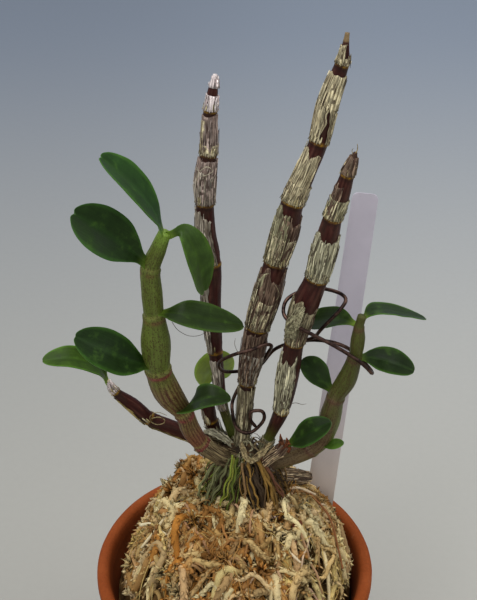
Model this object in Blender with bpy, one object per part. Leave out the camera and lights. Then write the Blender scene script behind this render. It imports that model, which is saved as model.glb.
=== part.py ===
"""A cane orchid in a terracotta pot of moss, with a plant label and a wire clip.

The pot stands on z = 0 with its axis on the z axis, and the viewer's side is
towards -Y. All lengths are in millimetres and MM turns them into metres. The
plant is drawn in heights above the pot's rim, and hangs from an empty there.
"""
import math
import random

import bmesh
import bpy
import numpy as np
from mathutils import Vector, noise

MM = 0.001
SEAT = 0.3           # clearance between pieces that rest on each other
SEED = 7

POT_HEIGHT = 80.0
RIM_RADIUS = 45.0
BASE_RADIUS = 29.0
HOLE_RADIUS = 6.0
FLOOR_THICKNESS = 8.0
POT_SIDES = 48

MOSS_RADIUS = 38.7   # where the moss meets the pot's wall
MOSS_EDGE = -4.0     # height of that edge above the rim
MOSS_TOP = 26.0
MOSS_SIDES = 40
STRAND_COUNT = 40
STRAND_RADIUS = 0.5

ROOT_COUNT = 22
ROOT_RADIUS = 0.85

CANE_SIDES = 10
JOINT_HALF = 0.7     # half the length of the ring at a cane's joint
JOINT_SWELL = 1.07
JOINT_NECK = 0.95

LEAF_STATIONS = 12
LEAF_RIB = 1.1       # leaf thickness at the midrib
LEAF_EDGE = 0.65     # leaf thickness at the edge
LEAF_FOLD = 0.22     # rise of a leaf's edge as a share of its half width

LABEL_HEAD = 8.1     # width at the top; it widens to the foot
LABEL_FOOT = 9.3
LABEL_THICKNESS = 0.8
LABEL_AT = (28.2, 15.5, 9.5)
WIRE_RADIUS = 0.55

# Canes and leafy shoots from foot to tip: x, y, height above the rim, radius,
# and whether a joint's ring is there.
CANES = {
    "cane_tall": [
        (2.3, 6, 44.0, 2.10, 0), (2.8, 6, 50.9, 2.15, 0), (3.9, 7, 67.7, 2.45, 1),
        (5.3, 8, 76.8, 3.30, 0), (6.8, 9, 86.5, 3.35, 1), (9.5, 10, 97.1, 3.75, 0),
        (11.8, 11, 107.4, 3.30, 1), (14.3, 12, 116.8, 3.60, 0), (16.3, 13, 125.6, 3.15, 1),
        (19.7, 14, 134.4, 2.80, 0), (22.9, 15, 142.9, 2.55, 1), (25.0, 16, 153.6, 2.55, 0),
        (28.2, 17, 164.0, 1.85, 1), (28.8, 17, 168.0, 1.25, 0), (29.3, 17.5, 172.4, 0.90, 0)],
    "cane_right": [
        (9.2, 4.2, 43.6, 1.70, 0), (11.1, 4, 50.2, 1.70, 0), (14.2, 3, 60.4, 2.40, 1),
        (15.8, 2, 73.9, 3.15, 0), (17.3, 1, 87.0, 2.85, 1), (19.6, 0.5, 98.9, 3.75, 0),
        (22.7, 0, 109.3, 3.15, 1), (24.5, -0.5, 119.0, 3.30, 0), (26.2, -1, 128.6, 2.45, 1),
        (28.0, -1, 135.0, 2.30, 0), (29.3, -1.5, 141.5, 1.80, 1), (30.5, -1.5, 145.7, 1.40, 0),
        (31.0, -1.5, 147.8, 0.75, 0)],
    "cane_back": [
        (0.3, 9.6, 41.5, 1.50, 0), (-0.5, 9.8, 45.5, 1.55, 0), (-3.4, 11.5, 55.0, 1.55, 0),
        (-4.9, 14.5, 66.4, 1.75, 0), (-5.6, 16, 72.5, 2.20, 1), (-6.7, 18.5, 87.0, 2.85, 0),
        (-6.6, 21, 100.8, 2.90, 1), (-8.1, 23, 110.5, 2.90, 0), (-8.2, 24, 119.2, 2.60, 1),
        (-8.1, 25, 126.4, 2.85, 0), (-7.1, 26, 133.9, 2.40, 1), (-6.7, 26.5, 140.6, 2.15, 0),
        (-6.4, 27, 146.7, 1.85, 1), (-5.4, 27.5, 153.5, 1.35, 0), (-4.9, 28, 157.0, 0.80, 0)],
    "cane_short": [
        (-3.9, 12.2, 41.5, 1.55, 0), (-5.5, 12.2, 44.0, 1.60, 0), (-7.2, 13, 48.0, 2.10, 1),
        (-8.2, 14, 53.8, 2.00, 0), (-9.4, 15, 59.0, 1.55, 0)],
    "cane_small": [
        (-4.0, 7.8, 41.8, 1.75, 0), (-6.7, 7.8, 43.1, 1.85, 0), (-13.0, 7.5, 46.5, 2.15, 1),
        (-19.5, 7, 50.5, 2.30, 0), (-26.0, 6.5, 54.5, 2.20, 1), (-30.5, 6, 60.0, 2.10, 0),
        (-35.5, 5.5, 65.5, 1.35, 1), (-37.8, 5.5, 70.0, 0.95, 0)],
    "shoot_left": [
        (1.0, 2.4, 40.0, 2.40, 0), (-2.6, 2, 42.3, 2.45, 0), (-5.9, 1, 45.2, 2.45, 0),
        (-10.1, 0, 50.2, 2.60, 1), (-13.2, -1, 56.8, 2.90, 0), (-14.9, -2, 63.5, 2.85, 1),
        (-19.3, -3, 72.1, 4.05, 0), (-21.7, -4, 81.3, 3.70, 1), (-21.9, -5, 91.5, 4.20, 0),
        (-22.0, -5, 100.4, 2.95, 1), (-22.2, -5.5, 108.5, 2.90, 0), (-22.2, -5.5, 115.7, 2.60, 1),
        (-20.0, -6, 121.8, 2.20, 0), (-17.9, -6, 127.2, 1.70, 0)],
    "shoot_right": [
        (5.6, 4.4, 37.5, 2.40, 0), (8.6, 4, 38.4, 2.50, 0), (12.3, 3, 40.1, 2.65, 1),
        (18.7, 2, 43.4, 2.80, 0), (23.7, 1, 47.5, 2.90, 1), (26.8, 0, 51.9, 2.75, 0),
        (28.3, -1, 59.7, 3.25, 0), (29.8, -2, 69.6, 2.65, 1), (32.5, -3, 76.6, 2.80, 0),
        (34.2, -4, 85.2, 1.95, 1), (34.7, -4, 91.5, 2.00, 0), (34.8, -4, 95.7, 1.40, 1),
        (35.4, -4, 99.2, 1.25, 0)],
    "old_stub": [
        (8.0, 5.6, 33.0, 1.90, 0), (12.0, 7, 31.0, 2.20, 0), (18.4, 10.5, 26.8, 2.45, 1),
        (24.6, 13.5, 23.8, 2.20, 0)],
    "new_shoot": [
        (8.2, -0.6, 41.6, 1.50, 0), (11.0, -1, 45.5, 1.70, 0), (14.0, -3, 50.0, 1.75, 1),
        (15.5, -4, 53.0, 1.55, 0)],
}

# Leaves: the cane they sit on, the midrib from foot to tip, the width, and the
# way the upper face looks.
LEAVES = {
    "leaf_top_left": ("shoot_left", [(-18.3, -6, 125.5), (-20.6, -7.8, 134), (-26.3, -9.5, 143.5),
                                     (-33.2, -9, 150.5)], 10.5, (0.84, -0.15, 0.53)),
    "leaf_upper_left": ("shoot_left", [(-22.0, -5.8, 116), (-27.5, -9, 124.2), (-33.5, -11, 130.5),
                                       (-40.7, -12, 136.5)], 12.5, (0.45, -0.8, 0.4)),
    "leaf_drooping": ("shoot_left", [(-17.4, -6.2, 126.3), (-12.9, -7, 127.6), (-9.4, -7, 119),
                                     (-8.0, -4, 107.2)], 9.5, (0.75, -0.65, 0.45)),
    "leaf_middle": ("shoot_left", [(-21.6, -5.5, 101.3), (-14.6, -9, 103.4), (-6.5, -8, 100.8),
                                   (2.5, -4, 96.2)], 9.6, (0.0, -0.35, 0.94)),
    "leaf_left": ("shoot_left", [(-21.9, -4.6, 82.2), (-28.5, -9, 87.6), (-35, -12, 93.6),
                                 (-43, -13, 99)], 11.5, (0.3, -0.6, 0.7)),
    "leaf_low": ("shoot_left", [(-15.2, -2.6, 64.4), (-12, -6.5, 70.5), (-7, -8, 74),
                                (-1, -7.5, 73)], 9.0, (-0.1, -0.15, 1.0)),
    "leaf_far_left": ("cane_small", [(-37.6, 5.5, 68.9), (-40, 4, 76), (-47, 2, 80.6),
                                     (-55.1, 0, 81.2)], 8.0, (0.1, -0.3, 0.95)),
    "leaf_round": ("cane_short", [(-9.2, 14.9, 58), (-8.6, 19.2, 60.8), (-4.9, 23.5, 61.8),
                                  (-0.8, 26.5, 63.2)], 10.5, (-0.3, -0.7, 0.65)),
    "leaf_far_right": ("shoot_right", [(35.2, -4, 98.2), (39.2, -2, 99.4), (45.6, 1, 96.8),
                                       (54.6, 4, 92.8)], 8.2, (0.0, 0.1, 1.0)),
    "leaf_inner_right": ("shoot_right", [(34.7, -3.8, 95.9), (30, 1, 94.8), (25.5, 5.5, 91.5),
                                         (20.5, 9, 88.5)], 7.6, (0.0, -0.5, 0.85)),
    "leaf_right": ("shoot_right", [(34.3, -3.9, 85), (40, -4, 84.6), (45, -5.5, 84.2),
                                   (50.8, -7, 82.4)], 8.2, (0.0, -0.45, 0.9)),
    "leaf_low_right": ("shoot_right", [(29.8, -1.9, 69.6), (25.5, 1.5, 73), (23, 4, 75),
                                       (20, 6, 77)], 8.0, (0.2, -0.5, 0.85)),
    "leaf_front": ("new_shoot", [(15.2, -3.8, 52.2), (19.5, -6.5, 57.5), (23, -8.5, 62),
                                 (28, -9, 65.5)], 8.0, (-0.3, -0.5, 0.8)),
    "leaf_bud": ("shoot_right", [(24.4, 0.6, 49), (28.6, -2.6, 51.5), (30.6, -3.2, 52.4),
                                 (32.8, -3.4, 53)], 3.2, (0.0, -0.6, 0.8)),
}

# Half width of a leaf along its midrib, as shares of its length and width.
LEAF_OUTLINE = ([0.0, 0.10, 0.22, 0.36, 0.52, 0.68, 0.82, 0.92, 0.98, 1.0],
                [0.24, 0.26, 0.60, 0.90, 1.00, 0.97, 0.80, 0.56, 0.30, 0.12])

# The bent wire, from the eye at the tall cane's foot to the free end behind
# the right cane, x, y and height above the rim.
WIRE = [
    (6.5, 3.0, 54.0), (5.0, 2.8, 56.6), (5.0, 2.6, 60.0), (8.4, 2.6, 60.2), (8.8, 2.6, 56.6),
    (5.0, 2.6, 52.0), (1.0, 3.0, 53.0), (-0.5, 5.0, 57.6), (-0.2, 8.5, 60.5), (3.6, 11.2, 67.0),
    (7.2, 11.0, 70.6), (10.0, 8.4, 77.6), (10.9, 5.5, 82.3), (9.0, 4.4, 83.5), (5.0, 4.0, 82.0),
    (-0.6, 4.6, 79.6), (-4.4, 7.2, 75.0), (-3.4, 10.4, 69.6), (1.0, 13.0, 67.4), (7.2, 13.2, 68.8),
    (12.0, 9.4, 78.2), (17.5, 5.3, 83.8), (22.6, 3.4, 86.6), (24.8, -1.4, 93.4), (29.4, -2.0, 100.0),
    (31.0, -0.2, 102.4), (28.4, 3.6, 102.4), (22.0, 5.0, 102.6), (15.6, 3.2, 100.8),
    (13.8, 0.0, 98.6), (15.2, -2.8, 96.8), (20.0, -4.5, 94.5), (28.0, -6.0, 90.5),
    (35.4, -7.0, 85.6), (39.0, -6.0, 81.0), (38.6, -3.0, 80.6), (34.2, -0.8, 84.6),
    (29.0, 1.0, 86.5), (23.0, 6.0, 84.0), (18.0, 7.5, 82.0)]


def clear_scene():
    for obj in list(bpy.data.objects):
        bpy.data.objects.remove(obj)


def material(name, colour, roughness, metallic=0.0):
    made = bpy.data.materials.new(name)
    made.use_nodes = True
    shader = made.node_tree.nodes["Principled BSDF"]
    shader.inputs["Base Color"].default_value = (*colour, 1.0)
    shader.inputs["Roughness"].default_value = roughness
    shader.inputs["Metallic"].default_value = metallic
    return made


def add_object(name, bm, look, parent):
    """Put a mesh in the scene as one smooth shaded object."""
    bmesh.ops.recalc_face_normals(bm, faces=bm.faces)
    mesh = bpy.data.meshes.new(name)
    bm.to_mesh(mesh)
    bm.free()
    mesh.shade_smooth()
    mesh.set_sharp_from_angle(angle=math.radians(40))
    mesh.materials.append(look)
    obj = bpy.data.objects.new(name, mesh)
    obj.parent = parent
    bpy.context.scene.collection.objects.link(obj)
    return obj


def smooth_path(points, steps):
    """A Catmull-Rom curve through the points, with some steps in each span."""
    knots = np.array(points, dtype=float)
    knots = np.vstack([2 * knots[0] - knots[1], knots, 2 * knots[-1] - knots[-2]])
    curve = []
    for a, b, c, d in zip(knots, knots[1:], knots[2:], knots[3:]):
        for k in range(steps):
            t = k / steps
            curve.append(0.5 * (2 * b + (c - a) * t + (2 * a - 5 * b + 4 * c - d) * t ** 2
                                + (3 * b - a - 3 * c + d) * t ** 3))
    curve.append(knots[-2])
    return np.array(curve)


def tangents(centres):
    """Unit direction of a path at each of its points."""
    ends = zip([centres[0], *centres[:-1]], [*centres[1:], centres[-1]])
    return [(after - before).normalized() for before, after in ends]


def skin(rings):
    """A closed mesh from rings of points joined in order, with flat ends."""
    bm = bmesh.new()
    loops = [[bm.verts.new(point * MM) for point in ring] for ring in rings]
    for lower, upper in zip(loops, loops[1:]):
        for k, corner in enumerate(lower):
            after = (k + 1) % len(lower)
            bm.faces.new((corner, lower[after], upper[after], upper[k]))
    bm.faces.new(loops[0])
    bm.faces.new(loops[-1])
    return bm


def tube(path, sides, grow=0.0):
    """A tube along points of x, y, z and radius; grow thickens and lengthens it."""
    centres = [Vector(point[:3]) for point in path]
    along = tangents(centres)
    centres[0] -= along[0] * grow
    centres[-1] += along[-1] * grow
    side = along[0].orthogonal()
    rings = []
    for centre, tangent, radius in zip(centres, along, [point[3] + grow for point in path]):
        side = (side - tangent * side.dot(tangent)).normalized()
        up = tangent.cross(side)
        angles = [2 * math.pi * k / sides for k in range(sides)]
        rings.append([centre + (side * math.cos(a) + up * math.sin(a)) * radius for a in angles])
    return skin(rings)


def cane_path(points):
    """A cane's centre line with its girth, and a raised ring at every joint."""
    steps = 8
    fine = smooth_path([point[:4] for point in points], steps)
    spans = np.linalg.norm(np.diff(fine[:, :3], axis=0), axis=1)
    length = np.concatenate(([0.0], np.cumsum(spans)))
    at_point = length[::steps]
    stations = []
    for here, point in zip(at_point, points):
        if point[4]:
            stations += [(here - JOINT_HALF, JOINT_NECK), (here, JOINT_SWELL),
                         (here + JOINT_HALF, JOINT_NECK)]
        else:
            stations.append((here, 1.0))
    path = []
    for here, girth in sorted(stations):
        x, y, z, radius = (np.interp(here, length, fine[:, k]) for k in range(4))
        path.append((x, y, z, radius * girth))
    return path


def pot_mesh():
    """The turned pot: its outside from the foot up, then its inside down."""
    profile = [
        (HOLE_RADIUS, 0.6), (HOLE_RADIUS + 0.6, 0.0), (BASE_RADIUS - 1.2, 0.0), (BASE_RADIUS, 1.2),
        (38.4, 48.0), (43.6, 73.0), (RIM_RADIUS, 77.4), (44.8, 79.2), (43.9, POT_HEIGHT),
        (42.2, POT_HEIGHT), (41.1, 79.2), (40.6, 77.6), (34.4, 46.0), (26.0, FLOOR_THICKNESS + 2.5),
        (24.0, FLOOR_THICKNESS), (HOLE_RADIUS, FLOOR_THICKNESS)]
    bm = bmesh.new()
    corners = [bm.verts.new((r * MM, 0.0, z * MM)) for r, z in profile]
    edges = [bm.edges.new(pair) for pair in zip(corners, corners[1:] + corners[:1])]
    bmesh.ops.spin(bm, geom=corners + edges, cent=(0, 0, 0), axis=(0, 0, 1),
                   angle=2 * math.pi, steps=POT_SIDES, use_merge=True)
    bmesh.ops.remove_doubles(bm, verts=bm.verts, dist=0.001 * MM)
    return bm


def moss_height(x, y):
    """Height of the moss above the rim: a steep heap with lumps and hollows."""
    share = math.hypot(x, y) / MOSS_RADIUS
    heap = 1.0 - min(share, 1.0) ** 4
    tuft = 5.0 * math.exp(-((x + 14.0) ** 2 + (y - 22.0) ** 2) / 70.0)
    lumps = 3.2 * noise.noise((x * 0.16, y * 0.16, 3.1)) + 1.8 * noise.noise((x * 0.4, y * 0.4, 8.7))
    fade = 1.0 - min(share, 1.0) ** 10
    return MOSS_EDGE + (MOSS_TOP - MOSS_EDGE) * heap + (tuft + lumps) * fade


def moss_core():
    """The heap of moss: its top by moss_height, its sides along the pot's inside."""
    floor = FLOOR_THICKNESS - POT_HEIGHT + SEAT
    sides = [(HOLE_RADIUS - 0.5, floor + 3.0), (HOLE_RADIUS + 1.5, floor), (23.6, floor),
             (25.6, floor + 2.4), (34.0, 46.0 - POT_HEIGHT), (39.3, 73.0 - POT_HEIGHT),
             (MOSS_RADIUS, MOSS_EDGE)]
    top = [36.6, 33.2, 28.8, 23.6, 18.0, 11.0, 4.0]
    rings = []
    angles = [2 * math.pi * k / MOSS_SIDES for k in range(MOSS_SIDES)]
    for radius, height in sides:
        rings.append([Vector((radius * math.cos(a), radius * math.sin(a), height)) for a in angles])
    for radius in top:
        level = [(radius * math.cos(a), radius * math.sin(a)) for a in angles]
        rings.append([Vector((x, y, moss_height(x, y))) for x, y in level])
    return skin(rings)


def strand_paths(draw, obstacles):
    """Short arched strands of moss, both ends sunk in, clear of what stands there."""
    paths = []
    while len(paths) < STRAND_COUNT:
        reach = 34.0 * math.sqrt(draw.random())
        place = draw.uniform(0, 2 * math.pi)
        turn = draw.uniform(0, 2 * math.pi)
        half = draw.uniform(4.0, 7.5)
        rise = draw.uniform(1.2, 2.6)
        middle = Vector((reach * math.cos(place), reach * math.sin(place)))
        step = Vector((math.cos(turn), math.sin(turn))) * half
        bend = Vector((-step.y, step.x)) * draw.uniform(-0.4, 0.4)
        path = []
        for t in (-1.0, -0.5, 0.0, 0.5, 1.0):
            spot = middle + step * t + bend * (1 - t * t)
            lift = rise * (1 - 2.2 * t * t)
            path.append((spot.x, spot.y, moss_height(spot.x, spot.y) + lift, STRAND_RADIUS))
        inside = all(math.hypot(point[0], point[1]) < MOSS_RADIUS - 2.0 for point in path)
        clear = all((Vector(point[:3]) - Vector(other[:3])).length > other[3] + 2.0
                    for point in path for other in obstacles)
        if inside and clear:
            paths.append(path)
    return paths


def root_paths(draw):
    """Thick roots that leave the root stock, flare out and dive into the moss."""
    paths = []
    for k in range(ROOT_COUNT):
        turn = 2 * math.pi * (k + draw.uniform(-0.3, 0.3)) / ROOT_COUNT
        start = draw.uniform(34.0, 40.5)
        flare = draw.uniform(11.2, 14.6)
        twist = draw.uniform(-0.35, 0.35)
        path = []
        for share, reach, height in ((0.0, 5.4, start), (0.3, 8.0, start - 1.6),
                                     (0.65, flare - 1.8, 29.5), (1.0, flare, 23.0),
                                     (1.2, flare + 0.8, 18.5)):
            a = turn + twist * share
            path.append((3.7 + reach * math.cos(a), 4.6 + 0.86 * reach * math.sin(a), height,
                         ROOT_RADIUS))
        paths.append(path)
    return paths


def stock_paths():
    """The woody root stock: a core among the roots and the rhizome across it."""
    return [
        [(3.2, 5.8, 45.6, 3.4), (3.3, 5.4, 41.0, 5.8), (3.5, 4.8, 36.0, 6.6), (3.8, 4.4, 30.0, 8.2),
         (4.0, 4.2, 21.0, 9.0)],
        [(-6.3, 8.4, 40.6, 2.3), (-2.5, 7.2, 41.2, 3.4), (3.5, 5.0, 41.8, 4.2), (9.0, 3.0, 41.4, 3.3),
         (11.4, 2.2, 42.8, 2.2)],
        [(3.0, 6.0, 39.8, 4.0), (-1.0, 9.6, 40.2, 3.8), (-4.6, 12.2, 40.2, 2.9)]]


def collection_of(name, meshes, look, parent):
    """Hidden pieces in a collection of their own, for a Boolean to read."""
    group = bpy.data.collections.new(name)
    bpy.context.scene.collection.children.link(group)
    for number, bm in enumerate(meshes):
        piece = add_object(f"{name}_{number}", bm, look, parent)
        piece.hide_render = True
        piece.display_type = "WIRE"
        bpy.context.scene.collection.objects.unlink(piece)
        group.objects.link(piece)
    return group


def boolean(obj, operation, group=None, other=None):
    """Add a Boolean modifier that reads a collection or one object."""
    change = obj.modifiers.new(operation.lower(), "BOOLEAN")
    change.operation = operation
    change.solver = "EXACT"
    if group is not None:
        change.operand_type = "COLLECTION"
        change.collection = group
    else:
        change.object = other


def apply_modifiers(obj):
    """Replace an object's mesh with the one its modifiers make."""
    depsgraph = bpy.context.evaluated_depsgraph_get()
    made = bpy.data.meshes.new_from_object(obj.evaluated_get(depsgraph))
    obj.modifiers.clear()
    obj.data = made


def remove_group(group):
    for piece in list(group.objects):
        bpy.data.objects.remove(piece)
    bpy.data.collections.remove(group)


def keep_largest_body(obj):
    """Drop the loose scraps that a cut leaves behind."""
    bm = bmesh.new()
    bm.from_mesh(obj.data)
    left = set(bm.verts)
    bodies = []
    while left:
        body = {left.pop()}
        edge = list(body)
        while edge:
            near = {e.other_vert(v) for v in edge for e in v.link_edges} - body
            body |= near
            edge = list(near)
        left -= body
        bodies.append(body)
    bodies.sort(key=len)
    for body in bodies[:-1]:
        bmesh.ops.delete(bm, geom=list(body), context="VERTS")
    bm.to_mesh(obj.data)
    bm.free()


def leaf_mesh(midrib, width, facing):
    """A fleshy blade along its midrib, folded up a little on both sides."""
    steps = 8
    fine = smooth_path(midrib, steps)
    shares = [k / (LEAF_STATIONS - 1) for k in range(LEAF_STATIONS)]
    scale = np.linspace(0.0, 1.0, len(fine))
    centres = [Vector([np.interp(s, scale, fine[:, k]) for k in range(3)]) for s in shares]
    rings = []
    for centre, tangent, share in zip(centres, tangents(centres), shares):
        side = tangent.cross(Vector(facing)).normalized()
        up = side.cross(tangent)
        half = 0.5 * width * np.interp(share, *LEAF_OUTLINE)
        ring = []
        for across in (-1.0, -0.5, 0.0, 0.5, 1.0):
            rise = half * LEAF_FOLD * abs(across) ** 1.5
            thick = LEAF_RIB + (LEAF_EDGE - LEAF_RIB) * abs(across)
            ring.append((centre + side * half * across + up * rise, up * thick / 2))
        top = [spot + lift for spot, lift in ring]
        under = [spot - lift for spot, lift in reversed(ring)]
        rings.append(top + under)
    return skin(rings)


def label_mesh():
    """A thin plastic label with round top corners and a point in the moss."""
    foot = Vector(LABEL_AT)
    head = Vector((40.3, 43.0, 112.4))
    along = (head - foot).normalized()
    side = along.cross(Vector((0.0, 1.0, 0.0))).normalized()
    face = side.cross(along)
    half = LABEL_HEAD / 2
    length = (head - foot).length
    edge = [(0.8, -25.0), (LABEL_FOOT / 2, -14.0), (half, length - 1.6),
            (half - 0.5, length - 0.5), (half - 1.6, length)]
    outline = edge + [(-x, up) for x, up in reversed(edge)]
    rings = []
    for depth in (-LABEL_THICKNESS / 2, LABEL_THICKNESS / 2):
        rings.append([foot + side * x + along * up + face * depth for x, up in outline])
    return skin(rings)


def build():
    clear_scene()
    rim = bpy.data.objects.new("rim_level", None)
    rim.location = (0.0, 0.0, POT_HEIGHT * MM)
    bpy.context.scene.collection.objects.link(rim)

    terracotta = material("terracotta", (0.42, 0.11, 0.035), 0.75)
    moss_look = material("dried_moss", (0.55, 0.42, 0.22), 0.95)
    root_look = material("roots", (0.20, 0.15, 0.06), 0.80)
    cane_look = material("old_cane", (0.10, 0.025, 0.02), 0.45)
    shoot_look = material("green_shoot", (0.10, 0.12, 0.025), 0.50)
    stub_look = material("grey_sheath", (0.28, 0.23, 0.17), 0.85)
    leaf_look = material("leaf", (0.03, 0.12, 0.015), 0.35)
    young_look = material("young_leaf", (0.10, 0.25, 0.03), 0.40)
    label_look = material("white_plastic", (0.62, 0.58, 0.62), 0.45)
    wire_look = material("bronze_wire", (0.20, 0.10, 0.07), 0.35, 1.0)
    helper = material("helper", (0.5, 0.5, 0.5), 1.0)

    add_object("pot", pot_mesh(), terracotta, None)

    paths = {name: cane_path(points) for name, points in CANES.items()}
    looks = {"shoot_left": shoot_look, "shoot_right": shoot_look, "old_stub": stub_look,
             "new_shoot": stub_look}
    for name, path in paths.items():
        add_object(name, tube(path, CANE_SIDES), looks.get(name, cane_look), rim)

    draw = random.Random(SEED)
    roots = root_paths(draw)
    stock = stock_paths()
    first, *rest = stock
    crown = add_object("root_stock", tube(first, 12), root_look, rim)
    pieces = [tube(path, 10) for path in rest] + [tube(path, 6) for path in roots]
    group = collection_of("join_roots", pieces, helper, rim)
    boolean(crown, "UNION", group=group)
    apply_modifiers(crown)
    remove_group(group)
    group = collection_of("cane_sockets", [tube(path, CANE_SIDES, SEAT) for path in paths.values()],
                          helper, rim)
    boolean(crown, "DIFFERENCE", group=group)
    apply_modifiers(crown)
    keep_largest_body(crown)

    moss = add_object("moss", moss_core(), moss_look, rim)
    standing = [point for path in roots + stock for point in path]
    standing += paths["old_stub"]
    standing.append((*LABEL_AT, 4.5))
    strands = [tube(path, 4) for path in strand_paths(draw, standing)]
    group = collection_of("join_strands", strands, helper, rim)
    boolean(moss, "UNION", group=group)
    apply_modifiers(moss)
    remove_group(group)
    grown = [tube(path, 12, SEAT) for path in stock[:1]] + [tube(path, 10, SEAT) for path in stock[1:]]
    grown += [tube(path, 6, SEAT) for path in roots]
    grown.append(tube(paths["old_stub"], CANE_SIDES, SEAT))
    label = add_object("label", label_mesh(), label_look, rim)
    slot = label.data.copy()
    fat = bmesh.new()
    fat.from_mesh(slot)
    for vert in fat.verts:
        vert.co += vert.normal * SEAT * 1.6 * MM
    grown.append(fat)
    group = collection_of("moss_sockets", grown, helper, rim)
    boolean(moss, "DIFFERENCE", group=group)
    apply_modifiers(moss)
    keep_largest_body(moss)

    young = {"leaf_far_left", "leaf_round", "leaf_bud"}
    hosts = {}
    for name, (host, midrib, width, facing) in LEAVES.items():
        leaf = add_object(name, leaf_mesh(midrib, width, facing),
                          young_look if name in young else leaf_look, rim)
        if host not in hosts:
            cutter = add_object(f"seat_{host}", tube(paths[host], CANE_SIDES, SEAT), helper, rim)
            cutter.hide_render = True
            cutter.display_type = "WIRE"
            hosts[host] = cutter
        boolean(leaf, "DIFFERENCE", other=hosts[host])
        apply_modifiers(leaf)
        keep_largest_body(leaf)

    wire = [(*point, WIRE_RADIUS) for point in smooth_path(WIRE, 2)]
    add_object("wire", tube(wire, 6), wire_look, rim)


build()
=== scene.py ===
"""The looks of a potted cane orchid: pot, moss, roots, canes, leaves, label and wire.

Lengths are in millimetres, and MM turns them into metres when a mesh is made.
The plant's heights are above the pot's rim, as in the part's own source.
"""

import math

import bpy
import numpy as np
from mathutils import Matrix, Vector, noise


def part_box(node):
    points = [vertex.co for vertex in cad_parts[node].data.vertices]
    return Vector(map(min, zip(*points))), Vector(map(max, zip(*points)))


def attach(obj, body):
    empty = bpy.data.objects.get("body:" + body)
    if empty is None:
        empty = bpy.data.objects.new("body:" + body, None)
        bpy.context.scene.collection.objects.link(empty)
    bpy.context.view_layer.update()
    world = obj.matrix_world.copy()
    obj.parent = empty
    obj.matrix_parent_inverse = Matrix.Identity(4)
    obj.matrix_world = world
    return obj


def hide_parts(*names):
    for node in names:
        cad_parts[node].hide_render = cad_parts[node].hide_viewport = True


MM = 0.001
SEED = 11
UPRIGHT = (0.1, 0.2, 1.0)

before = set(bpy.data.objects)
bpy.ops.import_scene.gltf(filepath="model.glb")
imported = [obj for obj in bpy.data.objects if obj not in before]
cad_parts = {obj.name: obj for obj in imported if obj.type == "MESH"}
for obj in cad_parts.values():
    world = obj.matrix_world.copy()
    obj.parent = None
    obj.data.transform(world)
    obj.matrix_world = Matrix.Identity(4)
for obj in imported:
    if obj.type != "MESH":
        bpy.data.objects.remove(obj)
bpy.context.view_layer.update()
RIM_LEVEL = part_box("pot")[1].z / MM
draw = np.random.default_rng(SEED)

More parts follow.
